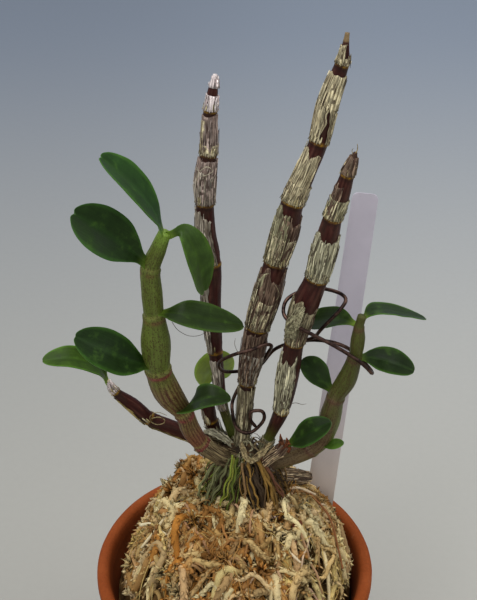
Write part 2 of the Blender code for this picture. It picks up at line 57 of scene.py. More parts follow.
# Canes and leafy shoots from foot to tip: x, y, height above the rim, radius,
# and whether a joint's ring is there.
CANES = {
    "cane_tall": [
        (2.3, 6, 44.0, 2.10, 0), (2.8, 6, 50.9, 2.15, 0), (3.9, 7, 67.7, 2.45, 1),
        (5.3, 8, 76.8, 3.30, 0), (6.8, 9, 86.5, 3.35, 1), (9.5, 10, 97.1, 3.75, 0),
        (11.8, 11, 107.4, 3.30, 1), (14.3, 12, 116.8, 3.60, 0), (16.3, 13, 125.6, 3.15, 1),
        (19.7, 14, 134.4, 2.80, 0), (22.9, 15, 142.9, 2.55, 1), (25.0, 16, 153.6, 2.55, 0),
        (28.2, 17, 164.0, 1.85, 1), (28.8, 17, 168.0, 1.25, 0), (29.3, 17.5, 172.4, 0.90, 0)],
    "cane_right": [
        (9.2, 4.2, 43.6, 1.70, 0), (11.1, 4, 50.2, 1.70, 0), (14.2, 3, 60.4, 2.40, 1),
        (15.8, 2, 73.9, 3.15, 0), (17.3, 1, 87.0, 2.85, 1), (19.6, 0.5, 98.9, 3.75, 0),
        (22.7, 0, 109.3, 3.15, 1), (24.5, -0.5, 119.0, 3.30, 0), (26.2, -1, 128.6, 2.45, 1),
        (28.0, -1, 135.0, 2.30, 0), (29.3, -1.5, 141.5, 1.80, 1), (30.5, -1.5, 145.7, 1.40, 0),
        (31.0, -1.5, 147.8, 0.75, 0)],
    "cane_back": [
        (0.3, 9.6, 41.5, 1.50, 0), (-0.5, 9.8, 45.5, 1.55, 0), (-3.4, 11.5, 55.0, 1.55, 0),
        (-4.9, 14.5, 66.4, 1.75, 0), (-5.6, 16, 72.5, 2.20, 1), (-6.7, 18.5, 87.0, 2.85, 0),
        (-6.6, 21, 100.8, 2.90, 1), (-8.1, 23, 110.5, 2.90, 0), (-8.2, 24, 119.2, 2.60, 1),
        (-8.1, 25, 126.4, 2.85, 0), (-7.1, 26, 133.9, 2.40, 1), (-6.7, 26.5, 140.6, 2.15, 0),
        (-6.4, 27, 146.7, 1.85, 1), (-5.4, 27.5, 153.5, 1.35, 0), (-4.9, 28, 157.0, 0.80, 0)],
    "cane_short": [
        (-3.9, 12.2, 41.5, 1.55, 0), (-5.5, 12.2, 44.0, 1.60, 0), (-7.2, 13, 48.0, 2.10, 1),
        (-8.2, 14, 53.8, 2.00, 0), (-9.4, 15, 59.0, 1.55, 0)],
    "cane_small": [
        (-4.0, 7.8, 41.8, 1.75, 0), (-6.7, 7.8, 43.1, 1.85, 0), (-13.0, 7.5, 46.5, 2.15, 1),
        (-19.5, 7, 50.5, 2.30, 0), (-26.0, 6.5, 54.5, 2.20, 1), (-30.5, 6, 60.0, 2.10, 0),
        (-35.5, 5.5, 65.5, 1.35, 1), (-37.8, 5.5, 70.0, 0.95, 0)],
    "shoot_left": [
        (1.0, 2.4, 40.0, 2.40, 0), (-2.6, 2, 42.3, 2.45, 0), (-5.9, 1, 45.2, 2.45, 0),
        (-10.1, 0, 50.2, 2.60, 1), (-13.2, -1, 56.8, 2.90, 0), (-14.9, -2, 63.5, 2.85, 1),
        (-19.3, -3, 72.1, 4.05, 0), (-21.7, -4, 81.3, 3.70, 1), (-21.9, -5, 91.5, 4.20, 0),
        (-22.0, -5, 100.4, 2.95, 1), (-22.2, -5.5, 108.5, 2.90, 0), (-22.2, -5.5, 115.7, 2.60, 1),
        (-20.0, -6, 121.8, 2.20, 0), (-17.9, -6, 127.2, 1.70, 0)],
    "shoot_right": [
        (5.6, 4.4, 37.5, 2.40, 0), (8.6, 4, 38.4, 2.50, 0), (12.3, 3, 40.1, 2.65, 1),
        (18.7, 2, 43.4, 2.80, 0), (23.7, 1, 47.5, 2.90, 1), (26.8, 0, 51.9, 2.75, 0),
        (28.3, -1, 59.7, 3.25, 0), (29.8, -2, 69.6, 2.65, 1), (32.5, -3, 76.6, 2.80, 0),
        (34.2, -4, 85.2, 1.95, 1), (34.7, -4, 91.5, 2.00, 0), (34.8, -4, 95.7, 1.40, 1),
        (35.4, -4, 99.2, 1.25, 0)],
    "old_stub": [
        (8.0, 5.6, 33.0, 1.90, 0), (12.0, 7, 31.0, 2.20, 0), (18.4, 10.5, 26.8, 2.45, 1),
        (24.6, 13.5, 23.8, 2.20, 0)],
    "new_shoot": [
        (8.2, -0.6, 41.6, 1.50, 0), (11.0, -1, 45.5, 1.70, 0), (14.0, -3, 50.0, 1.75, 1),
        (15.5, -4, 53.0, 1.55, 0)],
}

# Leaves: the cane they sit on, the midrib from foot to tip, the width, and the
# way the upper face looks.
LEAVES = {
    "leaf_top_left": ("shoot_left", [(-18.3, -6, 125.5), (-20.6, -7.8, 134), (-26.3, -9.5, 143.5),
                                     (-33.2, -9, 150.5)], 10.5, (0.84, -0.15, 0.53)),
    "leaf_upper_left": ("shoot_left", [(-22.0, -5.8, 116), (-27.5, -9, 124.2), (-33.5, -11, 130.5),
                                       (-40.7, -12, 136.5)], 12.5, (0.45, -0.8, 0.4)),
    "leaf_drooping": ("shoot_left", [(-17.4, -6.2, 126.3), (-12.9, -7, 127.6), (-9.4, -7, 119),
                                     (-8.0, -4, 107.2)], 9.5, (0.75, -0.65, 0.45)),
    "leaf_middle": ("shoot_left", [(-21.6, -5.5, 101.3), (-14.6, -9, 103.4), (-6.5, -8, 100.8),
                                   (2.5, -4, 96.2)], 9.6, (0.0, -0.35, 0.94)),
    "leaf_left": ("shoot_left", [(-21.9, -4.6, 82.2), (-28.5, -9, 87.6), (-35, -12, 93.6),
                                 (-43, -13, 99)], 11.5, (0.3, -0.6, 0.7)),
    "leaf_low": ("shoot_left", [(-15.2, -2.6, 64.4), (-12, -6.5, 70.5), (-7, -8, 74),
                                (-1, -7.5, 73)], 9.0, (-0.1, -0.15, 1.0)),
    "leaf_far_left": ("cane_small", [(-37.6, 5.5, 68.9), (-40, 4, 76), (-47, 2, 80.6),
                                     (-55.1, 0, 81.2)], 8.0, (0.1, -0.3, 0.95)),
    "leaf_round": ("cane_short", [(-9.2, 14.9, 58), (-8.6, 19.2, 60.8), (-4.9, 23.5, 61.8),
                                  (-0.8, 26.5, 63.2)], 10.5, (-0.3, -0.7, 0.65)),
    "leaf_far_right": ("shoot_right", [(35.2, -4, 98.2), (39.2, -2, 99.4), (45.6, 1, 96.8),
                                       (54.6, 4, 92.8)], 8.2, (0.0, 0.1, 1.0)),
    "leaf_inner_right": ("shoot_right", [(34.7, -3.8, 95.9), (30, 1, 94.8), (25.5, 5.5, 91.5),
                                         (20.5, 9, 88.5)], 7.6, (0.0, -0.5, 0.85)),
    "leaf_right": ("shoot_right", [(34.3, -3.9, 85), (40, -4, 84.6), (45, -5.5, 84.2),
                                   (50.8, -7, 82.4)], 8.2, (0.0, -0.45, 0.9)),
    "leaf_low_right": ("shoot_right", [(29.8, -1.9, 69.6), (25.5, 1.5, 73), (23, 4, 75),
                                       (20, 6, 77)], 8.0, (0.2, -0.5, 0.85)),
    "leaf_front": ("new_shoot", [(15.2, -3.8, 52.2), (19.5, -6.5, 57.5), (23, -8.5, 62),
                                 (28, -9, 65.5)], 8.0, (-0.3, -0.5, 0.8)),
    "leaf_bud": ("shoot_right", [(24.4, 0.6, 49), (28.6, -2.6, 51.5), (30.6, -3.2, 52.4),
                                 (32.8, -3.4, 53)], 3.2, (0.0, -0.6, 0.8)),
}

# Half width of a leaf along its midrib, as shares of its length and width.
LEAF_OUTLINE = ([0.0, 0.10, 0.22, 0.36, 0.52, 0.68, 0.82, 0.92, 0.98, 1.0],
                [0.24, 0.26, 0.60, 0.90, 1.00, 0.97, 0.80, 0.56, 0.30, 0.12])

# The bent wire's line, from the eye at the tall cane's foot to the free end.
WIRE = [
    (6.5, 3.0, 54.0), (5.0, 2.8, 56.6), (5.0, 2.6, 60.0), (8.4, 2.6, 60.2), (8.8, 2.6, 56.6),
    (5.0, 2.6, 52.0), (1.0, 3.0, 53.0), (-0.5, 5.0, 57.6), (-0.2, 8.5, 60.5), (3.6, 11.2, 67.0),
    (7.2, 11.0, 70.6), (10.0, 8.4, 77.6), (10.9, 5.5, 82.3), (9.0, 4.4, 83.5), (5.0, 4.0, 82.0),
    (-0.6, 4.6, 79.6), (-4.4, 7.2, 75.0), (-3.4, 10.4, 69.6), (1.0, 13.0, 67.4), (7.2, 13.2, 68.8),
    (12.0, 9.4, 78.2), (17.5, 5.3, 83.8), (22.6, 3.4, 86.6), (24.8, -1.4, 93.4), (29.4, -2.0, 100.0),
    (31.0, -0.2, 102.4), (28.4, 3.6, 102.4), (22.0, 5.0, 102.6), (15.6, 3.2, 100.8),
    (13.8, 0.0, 98.6), (15.2, -2.8, 96.8), (20.0, -4.5, 94.5), (28.0, -6.0, 90.5),
    (35.4, -7.0, 85.6), (39.0, -6.0, 81.0), (38.6, -3.0, 80.6), (34.2, -0.8, 84.6),
    (29.0, 1.0, 86.5), (23.0, 6.0, 84.0), (18.0, 7.5, 82.0)]

MOSS_RADIUS = 38.7
MOSS_EDGE = -4.0
MOSS_TOP = 26.0


def tone(code):
    """A linear colour from its six-digit screen code."""
    levels = [int(code[k:k + 2], 16) / 255 for k in (0, 2, 4)]
    return np.array([v / 12.92 if v <= 0.04045 else ((v + 0.055) / 1.055) ** 2.4 for v in levels])


def unit(vectors):
    return vectors / np.maximum(np.linalg.norm(vectors, axis=-1, keepdims=True), 1e-9)


def lumps(points, size, seed=0.0):
    """Smooth noise from -1 to 1 over points, with lumps of one size."""
    flat = np.reshape(points, (-1, 3)) / size + seed
    return np.reshape([noise.noise(point) for point in flat], np.shape(points)[:-1])


def ease(low, high, value):
    """Rise smoothly from 0 at low to 1 at high."""
    share = np.clip((value - low) / (high - low), 0.0, 1.0)
    return share * share * (3 - 2 * share)


def blend_tones(first, second, share):
    """Colours between two colours, by shares from 0 to 1."""
    share = np.asarray(share)[..., None]
    return first * (1 - share) + second * share


def spots(x, y, z):
    """Points from three numbers or arrays, each spread to the shape of all."""
    return np.stack(np.broadcast_arrays(x, y, z), axis=-1)


def turns(count):
    """Angles spread evenly round a circle."""
    return np.arange(count) * 2 * math.pi / count


def column(low, high, count):
    """One random number for each of some rows."""
    return draw.uniform(low, high, count)[:, None]


def smooth_path(points, steps):
    """A smooth curve through the points, with some steps in each span."""
    knots = np.array(points, dtype=float)
    knots = np.vstack([2 * knots[0] - knots[1], knots, 2 * knots[-1] - knots[-2]])
    t = (np.arange(steps) / steps)[:, None]
    spans = [0.5 * (2 * b + (c - a) * t + (2 * a - 5 * b + 4 * c - d) * t ** 2
                    + (3 * b - a - 3 * c + d) * t ** 3)
             for a, b, c, d in zip(knots, knots[1:], knots[2:], knots[3:])]
    return np.vstack([*spans, knots[-2]])


def frames(centres, first=(1.0, 0.0, 0.0)):
    """Unit vectors along some paths, to their side, and up from both."""
    along = unit(np.gradient(centres, axis=-2))
    side = np.empty_like(along)
    last = np.broadcast_to(np.array(first, dtype=float), along[..., 0, :].shape)
    for k in range(centres.shape[-2]):
        here = along[..., k, :]
        last = unit(last - here * (last * here).sum(-1, keepdims=True))
        side[..., k, :] = last
    return along, side, np.cross(along, side)


def facing_frames(line, facing):
    """Unit vectors along one path, to its side, and up to the side that faces outwards."""
    along = unit(np.gradient(line, axis=0))
    side = unit(np.cross(along, facing))
    return along, side, np.cross(side, along)


def round_rings(centres, radius, sides, first=UPRIGHT):
    """Rings of points round some paths, with a radius at each point of a path."""
    _, side, up = frames(centres, first)
    angle = turns(sides)[:, None]
    outward = side[..., None, :] * np.cos(angle) + up[..., None, :] * np.sin(angle)
    return centres[..., None, :] + outward * radius[..., None, None]


class Shape:
    """Closed surfaces gathered into one mesh, with paint and grain at each point."""

    def __init__(self):
        self.points, self.paint, self.grain, self.faces = [], [], [], {3: [], 4: []}
        self.count = 0

    def add(self, points, faces, paint, grain=None):
        """Points, arrays of three- or four-cornered faces, and each point's marks."""
        points = np.reshape(points, (-1, 3))
        self.points.append(points)
        self.paint.append(np.broadcast_to(paint, points.shape))
        self.grain.append(points if grain is None else np.reshape(grain, (-1, 3)))
        for group in faces:
            self.faces[group.shape[-1]].append(np.reshape(group, (-1, group.shape[-1])) + self.count)
        self.count += len(points)

    def add_tubes(self, rings, paint, grain=None):
        """Closed tubes from rings of points: tube, ring, corner, then x, y and z."""
        if rings.ndim == 3:
            rings = rings[None]
        tubes, m, n = rings.shape[:3]

        def with_ends(values):
            values = np.broadcast_to(values, rings.shape)
            ends = values[:, [0, -1]].mean(axis=2)
            return np.concatenate([values.reshape(tubes, m * n, 3), ends], axis=1)

        ring, corner = np.meshgrid(np.arange(m - 1), np.arange(n), indexing="ij")
        a, b = ring * n + corner, ring * n + (corner + 1) % n
        walls = np.stack([a, b, b + n, a + n], axis=-1).reshape(1, -1, 4)
        k = np.arange(n)
        last = (m - 1) * n
        foot = np.stack([(k + 1) % n, k, np.full(n, m * n)], axis=-1)
        head = np.stack([last + k, last + (k + 1) % n, np.full(n, m * n + 1)], axis=-1)
        caps = np.concatenate([foot, head])[None]
        shift = ((m * n + 2) * np.arange(tubes))[:, None, None]
        grain = rings if grain is None else grain
        self.add(with_ends(rings), [walls + shift, caps + shift],
                 with_ends(paint).reshape(-1, 3), with_ends(grain))

    def add_sheet(self, under, top, lower, upper, grain):
        """A thin closed sheet from rows of points on its two faces, and their paints."""
        pairs = ((under, top), (lower, upper), (grain, grain))
        self.add_tubes(*(np.concatenate([a[:, ::-1], b], axis=1)[None] for a, b in pairs))

    def piece(self, name, look, slot, *nodes, sharp=None):
        """Make the object, put it on the body and hide the CAD nodes it stands for."""
        mesh = bpy.data.meshes.new(name)
        points = np.concatenate(self.points) + (0.0, 0.0, RIM_LEVEL)
        mesh.vertices.add(len(points))
        mesh.vertices.foreach_set("co", (points * MM).ravel())
        groups = [np.concatenate(group) for group in self.faces.values() if group]
        corners = np.concatenate([group.ravel() for group in groups])
        sizes = np.concatenate([np.full(len(group), group.shape[1]) for group in groups])
        mesh.loops.add(len(corners))
        mesh.loops.foreach_set("vertex_index", corners)
        mesh.polygons.add(len(sizes))
        mesh.polygons.foreach_set("loop_start", np.cumsum(sizes) - sizes)
        paint = np.concatenate([np.concatenate(self.paint), np.ones((len(points), 1))], axis=1)
        mesh.attributes.new("paint", "FLOAT_COLOR", "POINT").data.foreach_set("color", paint.ravel())
        grain = np.concatenate(self.grain)
        mesh.attributes.new("grain", "FLOAT_VECTOR", "POINT").data.foreach_set("vector", grain.ravel())
        mesh.update(calc_edges=True)
        mesh.validate()
        mesh.shade_smooth()
        if sharp:
            mesh.set_sharp_from_angle(angle=math.radians(sharp))
        mesh.materials.append(look.material)
        obj = bpy.data.objects.new(name, mesh)
        bpy.context.scene.collection.objects.link(obj)
        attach(obj, "root")
        if nodes:
            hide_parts(*nodes)
        return obj


class Look:
    """A Principled material, with short calls for the nodes that it needs."""

    def __init__(self, name, **sockets):
        self.material = bpy.data.materials.new(name)
        self.material.use_nodes = True
        self.tree = self.material.node_tree
        self.shader = self.tree.nodes["Principled BSDF"]
        for socket, value in sockets.items():
            self.shader.inputs[socket.replace("_", " ")].default_value = value
        place = self.node("ShaderNodeTexCoord").outputs["Object"]
        self.place = self.scaled(place, 1 / MM)
        grain = self.node("ShaderNodeAttribute", attribute_name="grain")
        self.grain = grain.outputs["Vector"]
        paint = self.node("ShaderNodeAttribute", attribute_name="paint")
        self.paint = paint.outputs["Color"]

    def node(self, kind, **settings):
        made = self.tree.nodes.new(kind)
        for name, value in settings.items():
            setattr(made, name, value)
        return made

    def feed(self, socket, value):
        if isinstance(value, bpy.types.NodeSocket):
            self.tree.links.new(value, socket)
        elif isinstance(value, (tuple, np.ndarray)):
            socket.default_value = (*value, 1.0)[:len(socket.default_value)]
        else:
            socket.default_value = value

    def scaled(self, vector, size):
        """A vector times one number, or times three."""
        made = self.node("ShaderNodeVectorMath", operation="MULTIPLY")
        self.feed(made.inputs[0], vector)
        made.inputs[1].default_value = size if isinstance(size, tuple) else (size, size, size)
        return made.outputs[0]

    def noise(self, vector, size, detail=3.0, rough=0.55):
        """Noise with features of one size, in the vector's own units."""
        made = self.node("ShaderNodeTexNoise")
        self.feed(made.inputs["Vector"], vector)
        made.inputs["Scale"].default_value = 1 / size
        made.inputs["Detail"].default_value = detail
        made.inputs["Roughness"].default_value = rough
        return made.outputs["Fac"]

    def streaks(self, stretch, size, detail, rough):
        """Noise drawn out along the grain."""
        return self.noise(self.scaled(self.grain, (stretch, 1.0, 1.0)), size, detail, rough)

    def dots(self, vector, size):
        """Distance from the middles of scattered cells."""
        made = self.node("ShaderNodeTexVoronoi")
        self.feed(made.inputs["Vector"], vector)
        made.inputs["Scale"].default_value = 1 / size
        return made.outputs["Distance"]

    def band(self, value, low, high, to_low=0.0, to_high=1.0):
        """Spread a range of a value over another range."""
        made = self.node("ShaderNodeMapRange", interpolation_type="SMOOTHSTEP")
        self.feed(made.inputs["Value"], value)
        for name, number in (("From Min", low), ("From Max", high),
                             ("To Min", to_low), ("To Max", to_high)):
            made.inputs[name].default_value = number
        return made.outputs["Result"]

    def maths(self, operation, first, second):
        made = self.node("ShaderNodeMath", operation=operation)
        self.feed(made.inputs[0], first)
        self.feed(made.inputs[1], second)
        return made.outputs[0]

    def mix(self, share, first, second, how="MIX"):
        made = self.node("ShaderNodeMix", data_type="RGBA", blend_type=how)
        self.feed(made.inputs[0], share)
        self.feed(made.inputs[6], first)
        self.feed(made.inputs[7], second)
        return made.outputs[2]

    def shade(self, colour, value, low, high):
        """Darken and lighten a colour by a value that runs from 0 to 1."""
        level = self.band(value, 0.0, 1.0, low, high)
        grey = self.node("ShaderNodeCombineXYZ")
        for socket in grey.inputs:
            self.feed(socket, level)
        return self.mix(1.0, colour, grey.outputs[0], "MULTIPLY")

    def bump(self, height, depth, strength=1.0):
        """Relief of some millimetres in depth, on the shader's normal."""
        made = self.node("ShaderNodeBump")
        made.inputs["Distance"].default_value = depth * MM
        made.inputs["Strength"].default_value = strength
        self.feed(made.inputs["Height"], height)
        self.feed(self.shader.inputs["Normal"], made.outputs["Normal"])

    def colour(self, value):
        self.feed(self.shader.inputs["Base Color"], value)

    def roughness(self, value, least, most):
        """Roughness from least to most, over the middle of a value's range."""
        self.feed(self.shader.inputs["Roughness"], self.band(value, 0.2, 0.8, least, most))


def terracotta_look():
    """Dry terracotta: cloudy, grainy, ringed by the wheel, with spots of lime."""
    look = Look("terracotta_finish", Specular_IOR_Level=0.1)
    cloud = look.noise(look.place, 14.0, 5.0, 0.6)
    fine = look.noise(look.place, 0.8, 4.0, 0.7)
    rings = look.noise(look.scaled(look.place, (0.02, 0.02, 1.0)), 1.3, 3.0)
    base = look.mix(look.band(cloud, 0.35, 0.7), look.paint, tone("a85a31"))
    base = look.mix(0.35, look.paint, base)
    base = look.shade(base, fine, 0.75, 1.25)
    base = look.shade(base, rings, 0.86, 1.14)
    lime = look.band(look.noise(look.place, 6.0, 6.0, 0.75), 0.62, 0.78, 0.0, 0.35)
    look.colour(look.mix(lime, base, tone("b98d70")))
    look.roughness(cloud, 0.62, 0.9)
    look.bump(look.maths("ADD", look.maths("MULTIPLY", fine, 0.5), rings), 0.25, 0.6)
    return look


def moss_look():
    """Dried moss: dull, and speckled finely and broadly."""
    look = Look("dried_moss_finish", Specular_IOR_Level=0.08)
    fine = look.noise(look.place, 0.35, 3.0, 0.7)
    broad = look.noise(look.place, 4.0, 2.0)
    base = look.shade(look.paint, fine, 0.7, 1.3)
    base = look.shade(base, broad, 0.85, 1.15)
    look.colour(base)
    look.roughness(fine, 0.75, 0.95)
    look.bump(fine, 0.12, 0.8)
    return look


def root_look():
    """Old roots: dull, with streaks along them."""
    look = Look("root_finish", Specular_IOR_Level=0.18)
    fine = look.streaks(0.25, 0.5, 4.0, 0.7)
    base = look.shade(look.paint, fine, 0.45, 1.55)
    look.colour(base)
    look.roughness(fine, 0.55, 0.85)
    look.bump(fine, 0.15, 0.8)
    return look


def skin_look():
    """Bare skin of an old cane: streaked along, a little glossy."""
    look = Look("cane_skin_finish", Specular_IOR_Level=0.16)
    streaks = look.streaks(0.12, 0.55, 4.0, 0.65)
    spots = look.noise(look.place, 1.1, 3.0, 0.6)
    base = look.shade(look.paint, streaks, 0.45, 1.55)
    base = look.shade(base, spots, 0.7, 1.3)
    look.colour(base)
    look.roughness(streaks, 0.35, 0.6)
    look.bump(streaks, 0.2, 0.8)
    return look


def sheath_look():
    """Dry papery sheath: fine pale fibres, with thin dark gaps between some of them."""
    look = Look("sheath_finish", Specular_IOR_Level=0.14)
    streaks = look.streaks(0.045, 0.3, 2.0, 0.6)
    holes = look.streaks(0.06, 0.3, 2.0, 0.55)
    patches = look.noise(look.place, 2.2, 3.0, 0.6)
    base = look.shade(look.paint, look.band(streaks, 0.32, 0.68), 0.5, 1.5)
    base = look.shade(base, patches, 0.8, 1.2)
    worn = look.maths("ADD", holes, look.maths("MULTIPLY", patches, 0.3))
    gaps = look.maths("MULTIPLY", look.band(worn, 0.68, 0.75), 0.8)
    base = look.mix(gaps, base, tone("3a241c"))
    look.colour(base)
    look.roughness(streaks, 0.5, 0.75)
    look.bump(look.maths("SUBTRACT", streaks, gaps), 0.15, 0.8)
    return look


def shoot_look():
    """Living stem: fine ribs along it, with dark red specks between them."""
    look = Look("shoot_finish", Specular_IOR_Level=0.2)
    ribs = look.streaks(0.04, 0.42, 2.0, 0.5)
    flecks = look.streaks(0.6, 0.3, 2.0, 0.6)
    specks = look.dots(look.scaled(look.grain, (0.7, 1.0, 1.0)), 0.55)
    dark = look.maths("MULTIPLY", look.band(ribs, 0.40, 0.62), look.band(flecks, 0.42, 0.6))
    dark = look.maths("MAXIMUM", dark, look.band(specks, 0.34, 0.22))
    base = look.shade(look.paint, look.noise(look.place, 2.0, 3.0), 0.8, 1.25)
    base = look.mix(look.maths("MULTIPLY", dark, 0.7), base, tone("3a1c14"))
    look.colour(base)
    look.feed(look.shader.inputs["Roughness"], look.band(ribs, 0.3, 0.7, 0.38, 0.55))
    look.bump(ribs, 0.15, 0.7)
    return look


def leaf_look():
    """Leaf skin: half matt, mottled, with faint veins along the blade."""
    look = Look("leaf_finish", Specular_IOR_Level=0.13)
    veins = look.noise(look.scaled(look.grain, (0.03, 1.0, 0.0)), 0.35, 2.0)
    cloud = look.noise(look.place, 3.5, 3.0, 0.6)
    fine = look.noise(look.place, 0.4, 2.0)
    base = look.shade(look.paint, cloud, 0.6, 1.4)
    base = look.shade(base, veins, 0.8, 1.2)
    look.colour(look.mix(look.band(cloud, 0.55, 0.75, 0.0, 0.35), base, tone("4a6a22")))
    look.feed(look.shader.inputs["Roughness"], look.band(cloud, 0.25, 0.75, 0.3, 0.48))
    look.bump(look.maths("ADD", veins, look.maths("MULTIPLY", fine, 0.5)), 0.06, 0.7)
    return look


def label_look():
    """White plastic, a little clouded and stained."""
    look = Look("label_finish", Specular_IOR_Level=0.3)
    cloud = look.noise(look.place, 9.0, 4.0, 0.6)
    fine = look.noise(look.place, 0.5, 2.0)
    stains = look.band(look.noise(look.place, 1.6, 5.0, 0.7), 0.62, 0.78, 0.0, 0.3)
    base = look.mix(stains, look.shade(look.paint, cloud, 0.93, 1.07), tone("8a7f74"))
    look.colour(base)
    look.roughness(cloud, 0.4, 0.58)
    look.bump(fine, 0.02, 0.5)
    return look


def wire_look():
    """Dark metal with warmer patches."""
    look = Look("wire_finish", Metallic=1.0)
    cloud = look.noise(look.place, 3.0, 4.0, 0.6)
    fine = look.noise(look.place, 0.5)
    look.colour(look.mix(look.band(cloud, 0.35, 0.65), tone("2a2120"), tone("624a40")))
    look.roughness(fine, 0.3, 0.5)
    look.bump(fine, 0.03, 0.5)
    return look


class Stem:
    """A cane's centre line, girth and directions, read at any distance along it."""

    def __init__(self, points, step=0.5):
        steps = 24
        fine = smooth_path([point[:4] for point in points], steps)
        spans = np.linalg.norm(np.diff(fine[:, :3], axis=0), axis=1)
        length = np.concatenate(([0.0], np.cumsum(spans)))
        self.length = length[-1]
        self.joints = [length[k * steps] for k, point in enumerate(points)
                       if len(point) > 4 and point[4]]
        self.stations = np.linspace(0.0, self.length, int(self.length / step) + 2)
        self.lines = np.stack([np.interp(self.stations, length, fine[:, k]) for k in range(4)], axis=1)
        _, self.side, self.up = frames(self.lines[:, :3])

    def read(self, values, distance):
        columns = [np.interp(distance, self.stations, values[:, k]) for k in range(values.shape[1])]
        return np.stack(columns, axis=-1)

    def at(self, distance, angle, rise, shape=None):
        """Points at distances along, angles round, and a rise above the skin."""
        distance, angle = np.broadcast_arrays(distance, angle)
        line = self.read(self.lines, distance)
        girth = line[..., 3] * (1.0 if shape is None else shape(self, distance))
        outward = (self.read(self.side, distance) * np.cos(angle)[..., None]
                   + self.read(self.up, distance) * np.sin(angle)[..., None])
        return line[..., :3] + outward * (girth + rise)[..., None], outward

    def grain(self, distance, angle, radius=3.0):
        """The same places on a straight cane, for patterns that follow it."""
        return spots(distance, radius * np.cos(angle), radius * np.sin(angle))


def old_shape(stem, distance):
    """Girth of an old cane: raised rings with a neck above them, and a narrow tip."""
    girth = 0.66 + 0.34 * ease(0.0, 6.0, stem.length - distance)
    for joint in stem.joints:
        past = distance - joint
        girth += 0.07 * np.exp(-(past / 0.4) ** 2) - 0.05 * np.exp(-((past - 1.4) / 1.0) ** 2)
    return girth


def shoot_shape(stem, distance):
    """Girth of a shoot near its joints: a sheath's lip, and a waist just above."""
    girth = np.ones_like(distance)
    for joint in stem.joints:
        past = distance - joint
        lip = 0.07 * np.exp(-(past / 1.3) ** 2)
        girth += np.where(past < 0.15, lip, -0.06 * np.exp(-(past - 0.15) / 1.6) * (past >= 0.15))
    return girth


def skin(shape, stem, girth, sides, paint, furrow):
    """The closed surface of a cane, with furrows along it."""
    round_it = np.broadcast_arrays(stem.stations[:, None], turns(sides))
    grain = stem.grain(*round_it)
    rise = furrow * lumps(grain * (0.12, 1.0, 1.0), 0.9, 3.0)
    rise += furrow * 0.5 * lumps(grain * (0.4, 1.0, 1.0), 0.45, 9.0)
    points = stem.at(*round_it, rise, girth)[0]
    shape.add_tubes(points, paint(stem, *round_it), grain)


def strips(shape, stem, girth, span, facing, wrap, tones, fill, width, lift, ragged, flare):
    """Fibres of a dry sheath: thin closed strips that lie along a cane."""
    start, stop = span
    if stop - start < 1.0:
        return
    middle = stem.read(stem.lines, (start + stop) / 2)[3]
    count = max(int(round(wrap * 2 * math.pi * middle / width)), 3)
    step = wrap * 2 * math.pi / count
    for k in range(count):
        if draw.random() > fill:
            continue
        angle = math.radians(facing) + (k + 0.5 - count / 2 + draw.uniform(-0.2, 0.2)) * step
        reach = ragged * (stop - start)
        low = start + draw.uniform(-0.3, 0.3) + reach * 0.4 * draw.random() * (draw.random() < 0.4)
        high = stop - reach * draw.random() ** 1.5
        pieces = max(int((high - low) / 1.1), 3) + 1
        share = np.linspace(0.0, 1.0, pieces)
        distance = np.clip(low + (high - low) * share, 0.0, stem.length)
        drift = np.cumsum(draw.normal(0, 0.035, pieces)) * 0.8
        raised = lift * draw.uniform(0.5, 1.8) + flare * draw.random() ** 3 * share ** 6
        raised = raised + flare * 0.6 * draw.random() ** 4 * (1 - share) ** 6
        half = 0.5 * step * middle * draw.uniform(0.5, 1.15) * (1 - 0.75 * np.abs(2 * share - 1) ** 5)
        around = angle + drift
        corners = []
        for across, height in ((1, -0.15), (-1, -0.15), (-1, 0.0), (1, 0.0)):
            turned = around + across * half / middle
            corners.append(stem.at(distance, turned, raised + height + 0.05, girth)[0])
        rings = np.stack(corners, axis=1)
        colour = blend_tones(*tones, draw.random() ** 1.3)
        colour = colour * draw.uniform(0.75, 1.2)
        grain = np.repeat(stem.grain(distance, around)[:, None], 4, axis=1) + draw.uniform(0, 60)
        shape.add_tubes(rings, colour, grain)


def membrane(shape, stem, girth, span, facing, wrap, tones, seed):
    """A papery patch of dry sheath on a cane, with a lobed top and ragged sides."""
    start, stop = span
    middle = stem.read(stem.lines, (start + stop) / 2)[3]
    across = np.linspace(-1, 1, max(int(wrap * 2 * math.pi * middle / 0.5), 6))
    share = np.linspace(0, 1, max(int((stop - start) / 0.7), 5))[:, None]
    angle = math.radians(facing) + across * wrap * math.pi
    edge = spots(middle * np.cos(angle), middle * np.sin(angle), seed)
    lobes = np.clip(0.5 + 0.9 * lumps(edge, 2.2, 2.0) + 0.3 * lumps(edge, 0.8, 5.0), 0, 1)
    top = stop - (stop - start) * lobes * (0.1 + 0.16 * (wrap < 0.95))
    distance = start + (top - start) * share
    places = stem.grain(distance, angle, middle) + seed
    wobble = spots(distance, 0, seed + np.sign(across))
    turned = angle + np.abs(across) ** 6 * 0.35 * lumps(wobble, 2.6) * (wrap < 0.95)
    rise = 0.07 + 0.1 * lumps(places * (0.25, 1.0, 1.0), 0.7)
    rise = rise + 0.28 * share ** 8 * (0.5 + lumps(places, 1.2, 4.0))
    outer = stem.at(distance, turned, rise + 0.16, girth)[0]
    inner = stem.at(distance, turned, rise - 0.16, girth)[0]
    veins = lumps(places * (0.1, 1.0, 1.0), 0.55, 8.0) + 0.5 * lumps(places * (0.3, 1.0, 1.0), 0.9, 3.0)
    pale = 0.5 + 0.9 * veins + 0.35 * np.exp(-((distance - start) / 2.2) ** 2)
    paint = blend_tones(*tones, np.clip(pale, 0, 1))
    shape.add_sheet(inner, outer, paint, paint, places)


